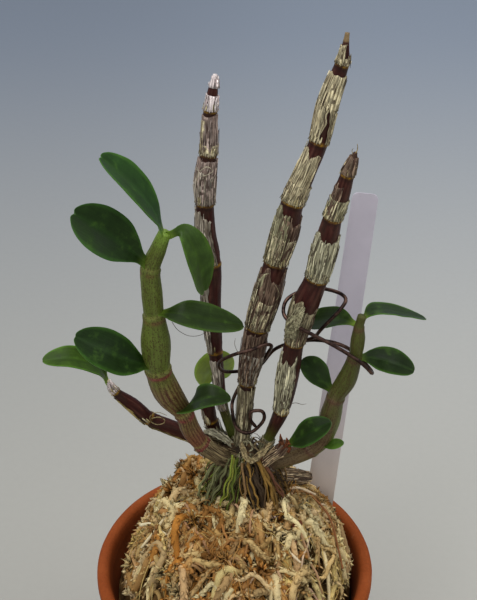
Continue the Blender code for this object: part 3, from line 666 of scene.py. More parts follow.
# Tones of the plant: one colour, or the dark and the pale end of a sheath's tones.
MAROON = tone("37140f")
BROWN = tone("3a221a")
OLIVE = tone("525a22")
OCHRE = tone("9c7522")
BONE = (tone("8d7f62"), tone("cabd98"))
SILVER = (tone("746858"), tone("b5aa98"))
SEDGE = (tone("706b4e"), tone("b3ab88"))
ROSY = (tone("c9b3ae"), tone("e2d5d0"))
DUSK = (tone("452f27"), tone("86705c"))
CREAM = (tone("a8996c"), tone("dccfa8"))
ASH = (tone("6a554a"), tone("a9968a"))
PALE_SEDGE = (tone("827d62"), tone("c6bf9f"))
HAY = (tone("655a42"), tone("a39878"))
STRAW = (tone("5e5030"), tone("a5915a"))

# Dry sheaths on the old canes, internode by internode from the foot. Each patch
# has its start and stop as shares of the internode, the side it faces in degrees
# from +x towards +y, the share of the way round, and its tones.
SHEATHS = {
    "cane_tall": [
        [(0.0, 1.0, -90, 1.0, HAY)],
        [(0.0, 1.0, -90, 1.0, DUSK), (0.0, 0.6, -90, 1.0, SILVER)],
        [(0.0, 0.98, -110, 0.85, DUSK), (0.0, 0.92, -172, 0.3, SEDGE), (0.0, 0.5, -90, 1.0, BONE)],
        [(0.0, 0.97, -165, 0.48, SEDGE), (0.0, 0.86, -35, 0.4, DUSK), (0.0, 0.5, -90, 1.0, BONE)],
        [(0.0, 0.98, -144, 0.5, BONE), (0.0, 0.35, -90, 1.0, BONE)],
        [(0.0, 0.6, 105, 0.92, BONE), (0.42, 0.92, -90, 1.0, BONE)],
        [(0.0, 0.3, -90, 1.0, BONE), (0.0, 0.8, -170, 0.5, BONE)]],
    "cane_right": [
        [(0.0, 0.35, -90, 0.8, SEDGE)],
        [(0.0, 0.92, -160, 0.55, PALE_SEDGE)],
        [(0.0, 0.72, -145, 0.6, HAY), (0.0, 0.4, -20, 0.4, DUSK)],
        [(0.0, 0.8, -125, 0.75, PALE_SEDGE)],
        [(0.0, 0.5, -90, 1.0, SEDGE), (0.0, 0.9, -175, 0.4, DUSK)],
        [(0.0, 0.9, -90, 1.0, DUSK)]],
    "cane_back": [
        [(0.4, 1.0, -165, 0.62, SILVER)],
        [(0.0, 0.97, 180, 0.42, SILVER)],
        [(0.0, 1.0, -150, 0.52, SILVER)],
        [(0.0, 0.98, -90, 1.0, ASH), (0.0, 0.8, -110, 0.8, SILVER)],
        [(0.0, 0.98, -90, 1.0, ASH), (0.0, 0.98, 178, 0.28, BONE), (0.0, 0.3, -90, 1.0, BONE)],
        [(0.0, 0.5, -90, 1.0, ROSY), (0.62, 1.0, -90, 1.0, ROSY)]],
    "cane_short": [[(0.0, 1.0, 175, 0.3, SILVER)], [(0.0, 0.9, 175, 0.3, SILVER)]],
    "cane_small": [[(0.0, 1.0, -160, 0.4, DUSK)], [(0.0, 0.98, -168, 0.28, STRAW)],
                   [(0.0, 0.98, -168, 0.26, STRAW)], [(0.0, 1.0, -90, 1.0, ROSY)]]}

# Strips of a sheath: the share of them that is there, and their width, lift,
# raggedness and flare.
LOOSE_STRIPS = (0.42, 0.27, 0.3, 0.5, 0.25)
PALE_STRIPS = (0.3, 0.5, 0.3, 0.45, 0.12)
FRINGE_STRIPS = (0.45, 0.32, 0.22, 0.6, 0.2)
STUB_STRIPS = (0.95, 0.42, 0.15, 0.06, 0.25)
TORN_STRIPS = (0.4, 0.4, 0.3, 0.25, 0.5)
YOUNG_STRIPS = (0.8, 0.4, 0.12, 0.2, 0.2)

# How far some canes are green from the foot, and the tones of some tips.
GREEN_FEET = {"cane_back": 22.0, "cane_right": 14.0, "cane_tall": 10.0}
TIPS = {"cane_back": ROSY[1], "cane_tall": tone("8a7250"), "cane_right": tone("4a3428"),
        "cane_small": tone("cdbfa0")}


def cane_paint(stem, distance, angle, tip, foot):
    """Maroon skin, olive at some feet, with an uneven ochre ring at each joint."""
    grain = stem.grain(distance, angle)
    patch = lumps(grain * (0.3, 1.0, 1.0), 2.2, 5.0)
    colour = blend_tones(MAROON, BROWN, ease(-0.2, 0.4, patch))
    streak = ease(0.1, 0.5, lumps(grain * (0.1, 1.0, 1.0), 0.8, 15.0))
    colour = blend_tones(colour, tone("603c30"), streak * 0.5)
    if foot:
        colour = blend_tones(OLIVE, colour, ease(0.2 * foot, foot, distance + 3 * patch))
    broken = 0.25 + 0.75 * ease(-0.3, 0.2, lumps(grain, 1.6, 21.0))
    uneven = 0.7 * lumps(grain * (0.0, 1.0, 1.0), 1.4, 31.0)
    for joint in stem.joints:
        past = distance - joint - uneven
        colour = blend_tones(colour, OCHRE, np.exp(-((past - 0.15) / 0.34) ** 2) * broken)
        colour = blend_tones(colour, BROWN * 0.35, np.exp(-((past + 0.8) / 0.5) ** 2) * 0.6)
    if tip is not None:
        colour = blend_tones(colour, tip, ease(2.6, 1.8, stem.length - distance))
    return colour


def old_cane(name):
    """An old cane: its skin, the patches of its dry sheaths, and their fibres."""
    stem = Stem(CANES[name])
    skin_shape = Shape()

    def painted(stem, distance, angle):
        return cane_paint(stem, distance, angle, TIPS.get(name), GREEN_FEET.get(name))

    skin(skin_shape, stem, old_shape, sides=28, paint=painted, furrow=0.12)
    skin_shape.piece(f"{name}_skin", LOOKS["skin"], "old_cane", name)
    papers, fibres = Shape(), Shape()
    ends = [0.0, *stem.joints, stem.length]
    for k, (low, high, patches) in enumerate(zip(ends, ends[1:], SHEATHS[name])):
        for j, (start, stop, facing, wrap, tones) in enumerate(patches):
            span = (low + start * (high - low) + 0.35, low + stop * (high - low) - 0.3)
            membrane(papers, stem, old_shape, span, facing, wrap, tones, k * 3.7 + j * 1.3)
            loose = (span[0], span[0] + 0.8 * (span[1] - span[0]))
            strips(fibres, stem, old_shape, loose, facing, wrap, tones, *LOOSE_STRIPS)
            pale = (tones[1] * 0.9, tones[1] * 1.35)
            strips(fibres, stem, old_shape, span, facing, wrap, pale, *PALE_STRIPS)
        facing, wrap = patches[0][2:4]
        if low > 0:
            fringe = (low + 0.1, low + 3.4)
            strips(fibres, stem, old_shape, fringe, facing, max(wrap, 0.6), CREAM, *FRINGE_STRIPS)
    papers.piece(f"{name}_sheath", LOOKS["sheath"], "old_cane")
    fibres.piece(f"{name}_fibres", LOOKS["sheath"], "old_cane")


def shoot_paint(stem, distance, angle):
    """Olive green above, striped red on tan below, with a red collar at each joint."""
    share = distance / stem.length
    patch = lumps(stem.grain(distance, angle) * (0.2, 1.0, 1.0), 1.6, 7.0)
    high = blend_tones(tone("5f6b2b"), tone("7d9a3a"), ease(0.93, 1.0, share))
    low = blend_tones(tone("7c5238"), tone("77683c"), ease(0.2, 0.28, share + 0.02 * patch))
    bent = lumps(spots(distance * 0.12, np.cos(angle), np.sin(angle)), 0.7, 13.0)
    stripe = ease(-0.1, 0.7, np.cos(angle * 19 + 3.0 * bent))
    low = blend_tones(low, tone("4a1d1a"), stripe * 0.8)
    colour = blend_tones(low, high, ease(0.43, 0.53, share + 0.04 * patch))
    for joint in stem.joints:
        past = distance - joint
        red = np.exp(-((past + 0.9) / 0.8) ** 2) * (0.8 - 0.45 * ease(0.5, 0.75, share))
        colour = blend_tones(colour, tone("84303a"), red * ease(-0.5, 0.3, patch + 0.2))
        colour = blend_tones(colour, tone("a9a45a"), np.exp(-((past - 0.9) / 0.5) ** 2) * 0.4)
    return colour


def right_paint(stem, distance, angle):
    """Brown purple below and olive above, greener on the underside."""
    share = distance / stem.length
    patch = lumps(stem.grain(distance, angle) * (0.2, 1.0, 1.0), 1.6, 17.0)
    low = blend_tones(tone("68573c"), tone("5c6a2c"), ease(0.2, 0.9, np.cos(angle + 0.3)))
    colour = blend_tones(low, tone("4e5222"), ease(0.42, 0.66, share + 0.15 * patch))
    for joint in stem.joints:
        past = distance - joint
        colour = blend_tones(colour, tone("5c3030"), np.exp(-((past + 0.6) / 0.8) ** 2) * 0.5)
    return colour


def shoot(name, paint):
    """A living shoot with its furrowed skin."""
    stem = Stem(CANES[name], step=0.35)
    shape = Shape()
    skin(shape, stem, shoot_shape, sides=64, paint=paint, furrow=0.1)
    shape.piece(f"{name}_skin", LOOKS["shoot"], "green_shoot", name)


# Leaves that are wider here than in the solids, and by how much.
WIDER = {"leaf_top_left": 1.22, "leaf_low": 1.1}

# Leaves: tones of the middle and of the margin, how far the tip is notched, how
# much the margin waves, and how far the widest part is moved towards the tip.
LEAF_TONES = {
    "leaf_top_left": ("223e14", "456e22", 1.0, 0.2, 1.3),
    "leaf_upper_left": ("213512", "3a6220", 1.3, 0.15, 1.3),
    "leaf_drooping": ("364c1c", "4d6c20", 0.8, 0.25, 1.45),
    "leaf_middle": ("243310", "415c1c", 0.0, 0.2, 1.15),
    "leaf_left": ("1b2e0d", "3c621e", 0.5, 0.3, 1.25),
    "leaf_low": ("1f2d0a", "3f5f1c", 0.0, 0.3, 0.7),
    "leaf_far_left": ("31480c", "56801f", 0.0, 0.2, 1.1),
    "leaf_round": ("505c18", "66802a", 0.0, 0.4, 1.1),
    "leaf_far_right": ("1d2e0d", "43661f", 0.0, 0.3, 1.1),
    "leaf_inner_right": ("263612", "38551c", 0.0, 0.2, 1.1),
    "leaf_right": ("1a290b", "40651a", 0.0, 0.3, 1.1),
    "leaf_low_right": ("22330f", "38551c", 0.0, 0.2, 1.1),
    "leaf_front": ("1d2d0b", "3c6420", 0.0, 0.2, 1.1),
    "leaf_bud": ("46641e", "628a2e", 0.0, 0.1, 1.0)}


def leaf(name, midrib, width, facing):
    """A fleshy blade: folded along its midrib, keeled below, with a pale margin."""
    middle_tone, edge_tone, notch, wave, swell = LEAF_TONES[name]
    stations, columns = 46, 15
    fine = smooth_path(midrib, 16)
    scale = np.linspace(0.0, 1.0, len(fine))
    share = 1 - (1 - np.linspace(0.0, 1.0, stations)) ** 1.35
    centres = np.stack([np.interp(share, scale, fine[:, k]) for k in range(3)], axis=1)
    along, side, up = facing_frames(centres, facing)
    outline = smooth_path(np.array(LEAF_OUTLINE).T, 8)
    half = 0.5 * width * WIDER.get(name, 1.0) * np.interp(share ** swell, outline[:, 0], outline[:, 1])
    across = np.sin(np.linspace(-math.pi / 2, math.pi / 2, columns))
    reach = half[:, None] * across
    fold = 0.22 * half[:, None] * np.abs(across) ** 1.5 * ease(0.0, 0.15, share)[:, None]
    bend = spots(share[:, None] * 12, reach * 0.3, 0)
    fold = fold + wave * lumps(bend, 2.4, len(name)) * np.abs(across) ** 2
    groove = -0.14 * np.exp(-(reach / 0.35) ** 2) * ease(0.0, 0.1, share)[:, None]
    pull = -notch * np.exp(-(reach / 0.55) ** 2) * ease(0.9, 1.0, share)[:, None]
    thick = (0.36 + 0.5 * (1 - np.abs(across) ** 1.3)) * (1 - 0.35 * share[:, None])
    keel = 0.16 * np.exp(-(reach / 0.45) ** 2) * (1 - share[:, None])
    base = centres[:, None] + side[:, None] * reach[..., None] + along[:, None] * pull[..., None]
    top = base + up[:, None] * (fold + groove + thick / 2)[..., None]
    under = base + up[:, None] * (fold - thick / 2 - keel)[..., None]
    length = share[:, None] * np.linalg.norm(np.diff(fine, axis=0), axis=1).sum()
    grain = spots(length, reach, 0) + len(name) * 3.0
    margin = ease(0.78, 1.0, np.abs(across))[None] * np.ones_like(reach)
    foot = 1 - ease(0.0, 0.22, share)[:, None] * np.ones_like(reach)
    rib = np.exp(-(reach / 0.3) ** 2) * 0.25
    # The upper face is painted darker along the middle as painted shade in the fold, and lighter towards
    # the sides.
    fold_shade_fade = ease(0.0, 0.9, np.abs(across))[None] * np.ones_like(reach)
    upper = blend_tones(tone(middle_tone) * 0.85, tone(middle_tone) * 1.15, fold_shade_fade)
    upper = blend_tones(upper, tone(edge_tone), np.maximum(margin * 0.7, rib * 0.6))
    upper = blend_tones(upper, tone("7f9a35"), foot * 0.7)
    lower = blend_tones(tone(middle_tone), tone("5d8540"), 0.55 + 0.3 * margin)
    lower = blend_tones(lower, tone("8aa345"), foot * 0.7)
    shape = Shape()
    shape.add_sheet(under, top, lower, upper, grain)
    young = name in ("leaf_far_left", "leaf_round", "leaf_bud")
    shape.piece(f"{name}_blade", LOOKS["leaf"], "young_leaf" if young else "leaf", name)


def pot():
    """The turned pot, with thrower's rings outside and a softened lip."""
    sides = 144
    outline = [
        (6.0, 0.9), (6.3, 0.25), (7.2, 0.0), (27.6, 0.0), (28.5, 0.3), (29.0, 1.3), (30.1, 6.5),
        (38.4, 48.0), (42.7, 69.0), (43.6, 73.0), (44.5, 75.4), (45.0, 77.2), (44.95, 78.6),
        (44.55, 79.5), (43.8, 79.97), (43.0, 80.0), (42.2, 79.9), (41.5, 79.5), (41.0, 78.7),
        (40.6, 77.2), (39.6, 72.0), (34.4, 46.0), (27.2, 13.0), (26.0, 10.3), (24.0, 8.1),
        (20.0, 8.0), (6.6, 8.0), (6.0, 7.4)]
    profile = []
    for (r0, z0), (r1, z1) in zip(outline, outline[1:] + outline[:1]):
        pieces = max(int(math.hypot(r1 - r0, z1 - z0) / 1.6), 1)
        for k in range(pieces):
            profile.append((r0 + (r1 - r0) * k / pieces, z0 + (z1 - z0) * k / pieces))
    angle = turns(sides)
    radius, height = np.array(profile).T
    outward = spots(np.cos(angle), np.sin(angle), 0)[:, None]
    points = outward * radius[:, None] + spots(0, 0, height)
    wall = ease(2.0, 8.0, height) * (radius > 20) * (1 - ease(72.0, 76.0, height))
    relief = 0.22 * lumps(points * (0.02, 0.02, 1.0), 2.4, 2.0) + 0.15 * lumps(points, 9.0, 4.0)
    relief = relief * wall - 0.05 * (1 + lumps(points, 5.0, 8.0))
    points = points + outward * relief[..., None] - (0, 0, RIM_LEVEL)
    below = RIM_LEVEL - height
    # Inside, the wall is a little darker, and painted shade darkens it more the deeper it lies below the
    # rim.
    inner = ease(0.5, 2.5, 44.5 - radius - below * 0.21) * ease(-0.5, 5.5, below)
    painted_depth_shade = inner * ease(1.0, 26.0, below)
    paint = blend_tones(tone("8a421b"), tone("7c3d1c"), inner)
    paint = blend_tones(paint, tone("46210f"), painted_depth_shade)
    n = len(radius)
    here, step = np.indices((sides, n))
    ahead, above = (here + 1) % sides, (step + 1) % n
    a, b, c, d = here * n + step, here * n + above, ahead * n + above, ahead * n + step
    shape = Shape()
    shape.add(points, [np.stack([a, d, c, b], axis=-1)], np.tile(paint, (sides, 1)))
    shape.piece("pot_shell", LOOKS["terracotta"], "terracotta", "pot")


def label():
    """The bare plastic label: thin, with softened edges and round top corners."""
    foot = np.array((28.2, 15.5, 9.5))
    head = np.array((40.3, 43.0, 112.4))
    along = unit(head - foot)
    side = unit(np.cross(along, (0.0, 1.0, 0.0)))
    face = np.cross(side, along)
    length = np.linalg.norm(head - foot)
    point, shoulder, corner = -25.0, -14.0, 2.2
    ups = np.concatenate([np.linspace(point, shoulder, 6), np.linspace(-10, length - corner, 60),
                          length - corner * (1 - np.sin(np.linspace(0.15, math.pi / 2, 10)))])
    half = np.interp(ups, [point, shoulder, length], [0.7, 4.65, 4.05])
    turned = np.clip((ups - (length - corner)) / corner, 0, 1)
    half = half - 1.5 * (1 - np.sqrt(np.clip(1 - turned ** 2, 0, 1)))
    rings, thick = [], 0.36
    for across, depth in ((-0.5, -1), (0, -1), (0.5, -1), (0.93, -1), (1, -0.6), (1, 0.6), (0.93, 1),
                          (0.5, 1), (0, 1), (-0.5, 1), (-0.93, 1), (-1, 0.6), (-1, -0.6), (-0.93, -1)):
        bow = 0.25 * (1 - across ** 2)
        rings.append(foot + side * (half * across)[:, None] + along * ups[:, None]
                     + face * (depth * thick + bow))
    rings = np.stack(rings, axis=1)
    height = rings[..., 2]
    paint = blend_tones(tone("c4b6aa"), tone("beb6be"), ease(10.0, 70.0, height))
    # Painted shade: dark brown near the foot, where the label stands in the moss.
    paint = blend_tones(tone("7c6a55"), paint, ease(2.0, 16.0, height + 3 * lumps(rings, 3.0)))
    shape = Shape()
    shape.add_tubes(rings[:, ::-1], paint[None])
    shape.piece("label_strip", LOOKS["label"], "white_plastic", "label", sharp=50)


def wire():
    """The bent wire, round, and a little thinner at its cut ends."""
    line = smooth_path(WIRE, 8)
    spans = np.concatenate(([0.0], np.cumsum(np.linalg.norm(np.diff(line, axis=0), axis=1))))
    step, thick, cut_end = 0.5, 0.54, 0.4
    along_it = np.linspace(0, spans[-1], int(spans[-1] / step))
    centres = np.stack([np.interp(along_it, spans, line[:, k]) for k in range(3)], axis=1)
    radius = np.full(len(centres), thick)
    radius[[0, -1]] = cut_end
    shape = Shape()
    shape.add_tubes(round_rings(centres, radius, sides=14, first=(0.3, 0.2, 1.0)), tone("5d3d32"))
    shape.piece("wire_bend", LOOKS["wire"], "bronze_wire", "wire")


# Hollows between the clumps of moss: x, y, radius and depth.
HOLLOWS = [(-16, -17, 3.4, 6.0), (-7, -18.6, 2.8, 5.0), (10, -21, 3.0, 5.0), (23.5, -15, 3.0, 5.0),
           (-26, 1, 3.2, 5.0), (19, -1, 3.0, 4.5), (1, -13, 2.4, 3.5), (-20, -6, 2.6, 4.0),
           (30, -24, 4.0, 5.0), (26, 18, 3.0, 4.0), (-12, 17, 3.0, 3.5), (-30, 14, 3.4, 4.5),
           (4, 30, 3.4, 4.5), (-8, -30, 4.0, 5.0)]


def back_left(x, y):
    """Near 1 on the back left of the pot, where the moss leaves a gap at the wall."""
    return np.exp(-((np.arctan2(y, -x) - 0.5) / 0.7) ** 2)


def heap(x, y):
    """Height of the moss above the rim, under its loose strands."""
    share = np.minimum(np.hypot(x, y) * (1 + 0.12 * back_left(x, y)) / MOSS_RADIUS, 1.0)
    mound = MOSS_EDGE + (MOSS_TOP - MOSS_EDGE) * (1 - share ** 4) - 6.0 * share ** 14
    tuft = 3.2 * np.exp(-((x + 14.0) ** 2 + (y - 20.0) ** 2) / 70.0)
    tuft = tuft + 2.0 * np.exp(-((x + 2.0) ** 2 + (y + 5.0) ** 2) / 30.0)
    rough = 3.2 * lumps(spots(x * 0.16, y * 0.16, 3.1), 1.0)
    rough = rough + 1.8 * lumps(spots(x * 0.4, y * 0.4, 8.7), 1.0)
    for at_x, at_y, radius, depth in HOLLOWS:
        rough = rough - depth * np.exp(-((x - at_x) ** 2 + (y - at_y) ** 2) / radius ** 2)
    return mound + (tuft + rough) * (1 - share ** 10)


# Patches of orange-brown moss: x, y and radius.
RUST = [(-22, 11, 8), (-13, 13, 6), (-11, -5, 4.5), (-7, -12, 6), (-1, -18, 7), (5, -24, 7),
        (-9, -23, 6), (23, 11, 7), (14, -10, 3), (-16, 24, 9), (8, 26, 7), (28, -2, 2.5),
        (-28, -12, 3), (0, -30, 7), (-8, -33, 5)]


def rust_share(x, y):
    """How rusty the moss is at a place, from 0 to 1."""
    share = np.zeros_like(x)
    for at_x, at_y, radius in RUST:
        share = np.maximum(share, 1 - np.hypot(x - at_x, y - at_y) / (radius * 1.6))
    return np.clip(share * 1.7, 0, 1)


# The pot's hollow as the moss fills it, from the drain hole up: radius and height.
HOLLOW = [(5.6, -69.0), (7.4, -71.6), (23.4, -71.6), (25.4, -69.2), (33.9, -34.2), (38.2, -12.0)]


def moss_core():
    """The heap under the loose strands, down to the pot's floor."""
    rings, sides = 34, 128
    angle = turns(sides)
    radius = MOSS_RADIUS * (1 - np.linspace(0, 1, rings) ** 1.2 * 0.97)
    x = radius[:, None] * np.cos(angle)
    y = radius[:, None] * np.sin(angle)
    top = spots(x, y, heap(x, y) - 2.4)
    top[..., 2] += 1.2 * lumps(top, 2.2, 5.0)
    under = [spots(r * np.cos(angle), r * np.sin(angle), z) for r, z in HOLLOW]
    points = np.concatenate([under, top])
    # Painted dark brown, as painted shade deep under the strands.
    paint = blend_tones(tone("3a2815"), tone("7a5c34"), ease(-0.3, 0.5, lumps(points, 1.8, 2.0)))
    shape = Shape()
    shape.add_tubes(points, paint[None])
    shape.piece("moss_heap", LOOKS["moss"], "dried_moss", "moss")


def leaflets(shape, foot, out, width, normal, length, half, paint):
    """Small pointed scales, each closed: foot, two sides, tip and a raised keel."""
    length, half = length[..., None], half[..., None]
    corners = np.stack([foot, foot + out * length * 0.42 + width * half,
                        foot + out * length + normal * length * 0.12,
                        foot + out * length * 0.42 - width * half,
                        foot + out * length * 0.45 + normal * half * 0.35], axis=-2)
    corners = corners.reshape(-1, 5, 3)
    faces = np.array([(0, 1, 4), (1, 2, 4), (2, 3, 4), (3, 0, 4), (0, 3, 2), (0, 2, 1)])
    shift = (5 * np.arange(len(corners)))[:, None, None]
    # Painted shade at each scale's foot, where it meets its strand, and painted light at its tip.
    crease_shade_tip_light = np.array((0.8, 1.0, 1.12, 1.0, 0.97))[:, None]
    colours = paint.reshape(-1, 1, 3) * crease_shade_tip_light
    shape.add(corners, [faces[None] + shift], colours.reshape(-1, 3))


def moss_paint(x, y, count):
    """Straw to cream, in places yellow, rosy or rusty, with some strands dark."""
    cream, straw, yellow = tone("ead7a2"), tone("c9a566"), tone("ccae55")
    rosy, rusty, dark = tone("d0a983"), tone("b5762f"), tone("7d4f20")
    pick = draw.random(count)
    colour = blend_tones(straw, cream, pick)
    places = spots(x, y, 0)
    colour = blend_tones(colour, yellow, ease(0.1, 0.5, lumps(places, 9.0, 4.0)) * 0.5)
    colour = blend_tones(colour, rosy, ease(0.1, 0.5, lumps(places, 7.0, 14.0)) * 0.5)
    colour = blend_tones(colour, dark, (draw.random(count) < 0.08) * 0.6)
    share = rust_share(x, y) * ease(0.0, 0.45, draw.random(count)) * 0.9
    colour = blend_tones(colour, blend_tones(rusty, dark, draw.random(count) ** 2), share)
    return colour * column(0.85, 1.08, count)


def moss_lines(count, low, high, steps, wander, reach):
    """Random curling lines over the heap: their x and y, and where each starts."""
    distance = reach * np.sqrt(draw.random(count))
    place = draw.uniform(0, 2 * math.pi, count)
    x, y = distance * np.cos(place), distance * np.sin(place)
    length = draw.uniform(low, high, count)
    heading = column(0, 2 * math.pi, count)
    heading = heading + draw.normal(0, wander * 0.36, count)[:, None] * np.arange(steps)
    heading = heading + np.cumsum(draw.normal(0, wander, (count, steps)), axis=1) * 0.5
    stride = (length / (steps - 1))[:, None]
    xs = x[:, None] + np.cumsum(np.cos(heading) * stride, axis=1)
    ys = y[:, None] + np.cumsum(np.sin(heading) * stride, axis=1)
    limit = 36.4 - 4.5 * back_left(xs, ys) + 1.2 * lumps(spots(xs, ys, 0), 6.0, 3.0)
    squeeze = np.minimum(1.0, limit / np.maximum(np.hypot(xs, ys), 1e-6))
    return xs * squeeze, ys * squeeze, x, y


# Layers of moss strands: name, count, height over the heap, arch, thickness,
# scales on a strand, how far they stand off it, and shade: painted shade on the
# deeper layers, and a little painted light on the top one.
MOSS_LAYERS = [("moss_deep", 220, -1.2, 0.6, 1.0, 22, 0.3, 0.82),
               ("moss_middle", 260, 0.0, 1.2, 1.0, 34, 0.32, 0.95),
               ("moss_top", 140, 1.0, 2.0, 0.95, 38, 0.36, 1.05)]


def moss_strands(name, count, base, arch, thickness, scales, spread, shade):
    """Rope-like strands of moss that curl over the heap, each shaggy with scales."""
    steps, sides = 20, 8
    xs, ys, x, y = moss_lines(count, 9.0, 22.0, steps, 0.34, 36.0)
    share = np.linspace(0, 1, steps)
    lift = base + column(-0.8, 0.8, count)
    lift = lift + arch * column(0.2, 1.4, count) * (1 - np.abs(2 * share - 1) ** 3 * 1.8)
    lift = lift + 0.8 * np.sin(share * column(4, 14, count) + column(0, 6, count))
    centres = spots(xs, ys, heap(xs, ys) + lift)
    along, side, up = frames(centres, UPRIGHT)
    ends = ease(0.0, 0.12, share) * (1 - ease(0.75, 1.0, share)) * 0.75 + 0.25
    radius = thickness * column(0.55, 1.3, count) * ends
    rings = round_rings(centres, radius, sides)
    rough = 1 + 0.35 * lumps(rings, 0.9, 7.0)
    rings = centres[:, :, None] + (rings - centres[:, :, None]) * rough[..., None]
    # The layer's shade factor paints deeper strands darker as painted shade, and the top ones a little
    # lighter.
    paint = moss_paint(x, y, count) * shade
    tint = 1 + 0.3 * lumps(rings, 1.6, 2.0)
    shape = Shape()
    shape.add_tubes(rings, paint[:, None, None] * tint[..., None])
    at = (np.arange(scales) + draw.uniform(-0.4, 0.4, (count, scales))) / scales
    at = np.clip(at, 0, 1) * (steps - 1)
    low = np.minimum(at.astype(int), steps - 2)
    part = (at - low)[..., None]
    rows = np.arange(count)[:, None]

    def read(values):
        return values[rows, low] * (1 - part) + values[rows, low + 1] * part

    turn = np.arange(scales) * 2.4 + column(0, 6, count) + draw.normal(0, 0.4, (count, scales))
    turn = turn[..., None]
    outward = unit(read(side) * np.cos(turn) + read(up) * np.sin(turn))
    ahead = unit(read(along))
    tilt = draw.normal(spread, 0.2, (count, scales)) + 0.4 * (at / (steps - 1)) ** 4
    tilt = np.clip(tilt, 0.05, 1.4)[..., None]
    out = unit(ahead * np.cos(tilt) + outward * np.sin(tilt))
    normal = unit(outward * np.cos(tilt) - ahead * np.sin(tilt))
    width = np.cross(out, normal)
    thin = read(radius[..., None])
    size = draw.uniform(0.65, 1.3, (count, scales)) * column(0.85, 1.15, count)
    colour = paint[:, None] * draw.uniform(0.86, 1.14, (count, scales))[..., None]
    foot = read(centres) + outward * thin * 0.75
    leaflets(shape, foot, out, width, normal, size * 2.0, size * 0.6, colour)
    shape.piece(name, LOOKS["moss"], "dried_moss")


def sway(count, steps, base, arch):
    """Heights over the heap of long loose lines that arch and dip."""
    share = np.linspace(0, 1, steps)
    rise = arch * column(0.3, 1.3, count) * (1 - np.abs(2 * share - 1) ** 2 * 1.7)
    return base + rise + 0.5 * np.sin(share * column(3, 9, count))


# Stems, straws and golden fibres strewn over the moss: how many, their least and
# greatest length, height over the heap, arch, radius and tones.
LOOSE_LINES = [(36, 10.0, 26.0, 1.0, 1.8, 0.38, (tone("bf9a7c"), tone("dcc8a4"))),
               (50, 5.0, 12.0, 1.2, 1.4, 0.55, (tone("b98a4e"), tone("e6d3a2"))),
               (240, 8.0, 24.0, 1.3, 2.6, 0.12, (tone("a8792f"), tone("e0c67e")))]

# Where the first tufts lie, x and y, in front of the roots and on the right.
FIRST_TUFTS = [(1.8, -4.2), (-3.0, -3.0), (4.9, -6.0), (30.0, 2.0), (32.0, -4.0), (28.0, 8.0),
               (-12.0, -10.0), (12.0, -16.0)]

# Two small pellets on the moss: place, size, and the way they point in radians.
PELLETS = [((19.3, -10.7), 1.7, 0.5), ((17.9, -15.3), 1.3, 2.2)]

# Bits that lie on the moss in the photograph: bare stems and straws, by their
# lines, radius and tone.
LOOSE_BITS = [
    ([(1.7, -5.2, 26.6), (7.0, -6.6, 26.8), (12.5, -7.2, 26.0), (17.3, -6.7, 25.2)],
     0.5, tone("e6cdbb")),
    ([(-9.1, -7.9, 26.6), (-6.5, -13.0, 26.0), (-4.0, -18.0, 24.6), (-2.0, -23.1, 22.6)],
     0.5, tone("d9c58c")),
    ([(-12.7, 10.2, 26.6), (-11.0, 3.0, 27.4), (-8.6, -3.7, 26.8)], 0.42, tone("cdb478")),
    ([(24.0, 4.0, 25.6), (30.0, -2.0, 21.0), (33.0, -8.7, 12.0), (34.0, -12.0, 8.4)],
     0.34, tone("8a5a38")),
    ([(-20.0, -2.0, 25.0), (-24.0, -8.0, 22.5), (-29.0, -11.0, 17.0)], 0.45, tone("e2cfa4")),
    ([(9.0, -14.0, 25.4), (15.0, -17.5, 23.4), (20.0, -20.5, 20.2)], 0.4, tone("dcc6a2")),
    ([(14.0, 3.0, 27.0), (20.0, 5.5, 26.6), (26.0, 5.0, 24.0)], 0.42, tone("d8bf9c")),
    ([(-30.0, -1.0, 16.8), (-26.0, -5.0, 21.0), (-20.5, -12.0, 23.0)], 0.5, tone("e9dab2"))]


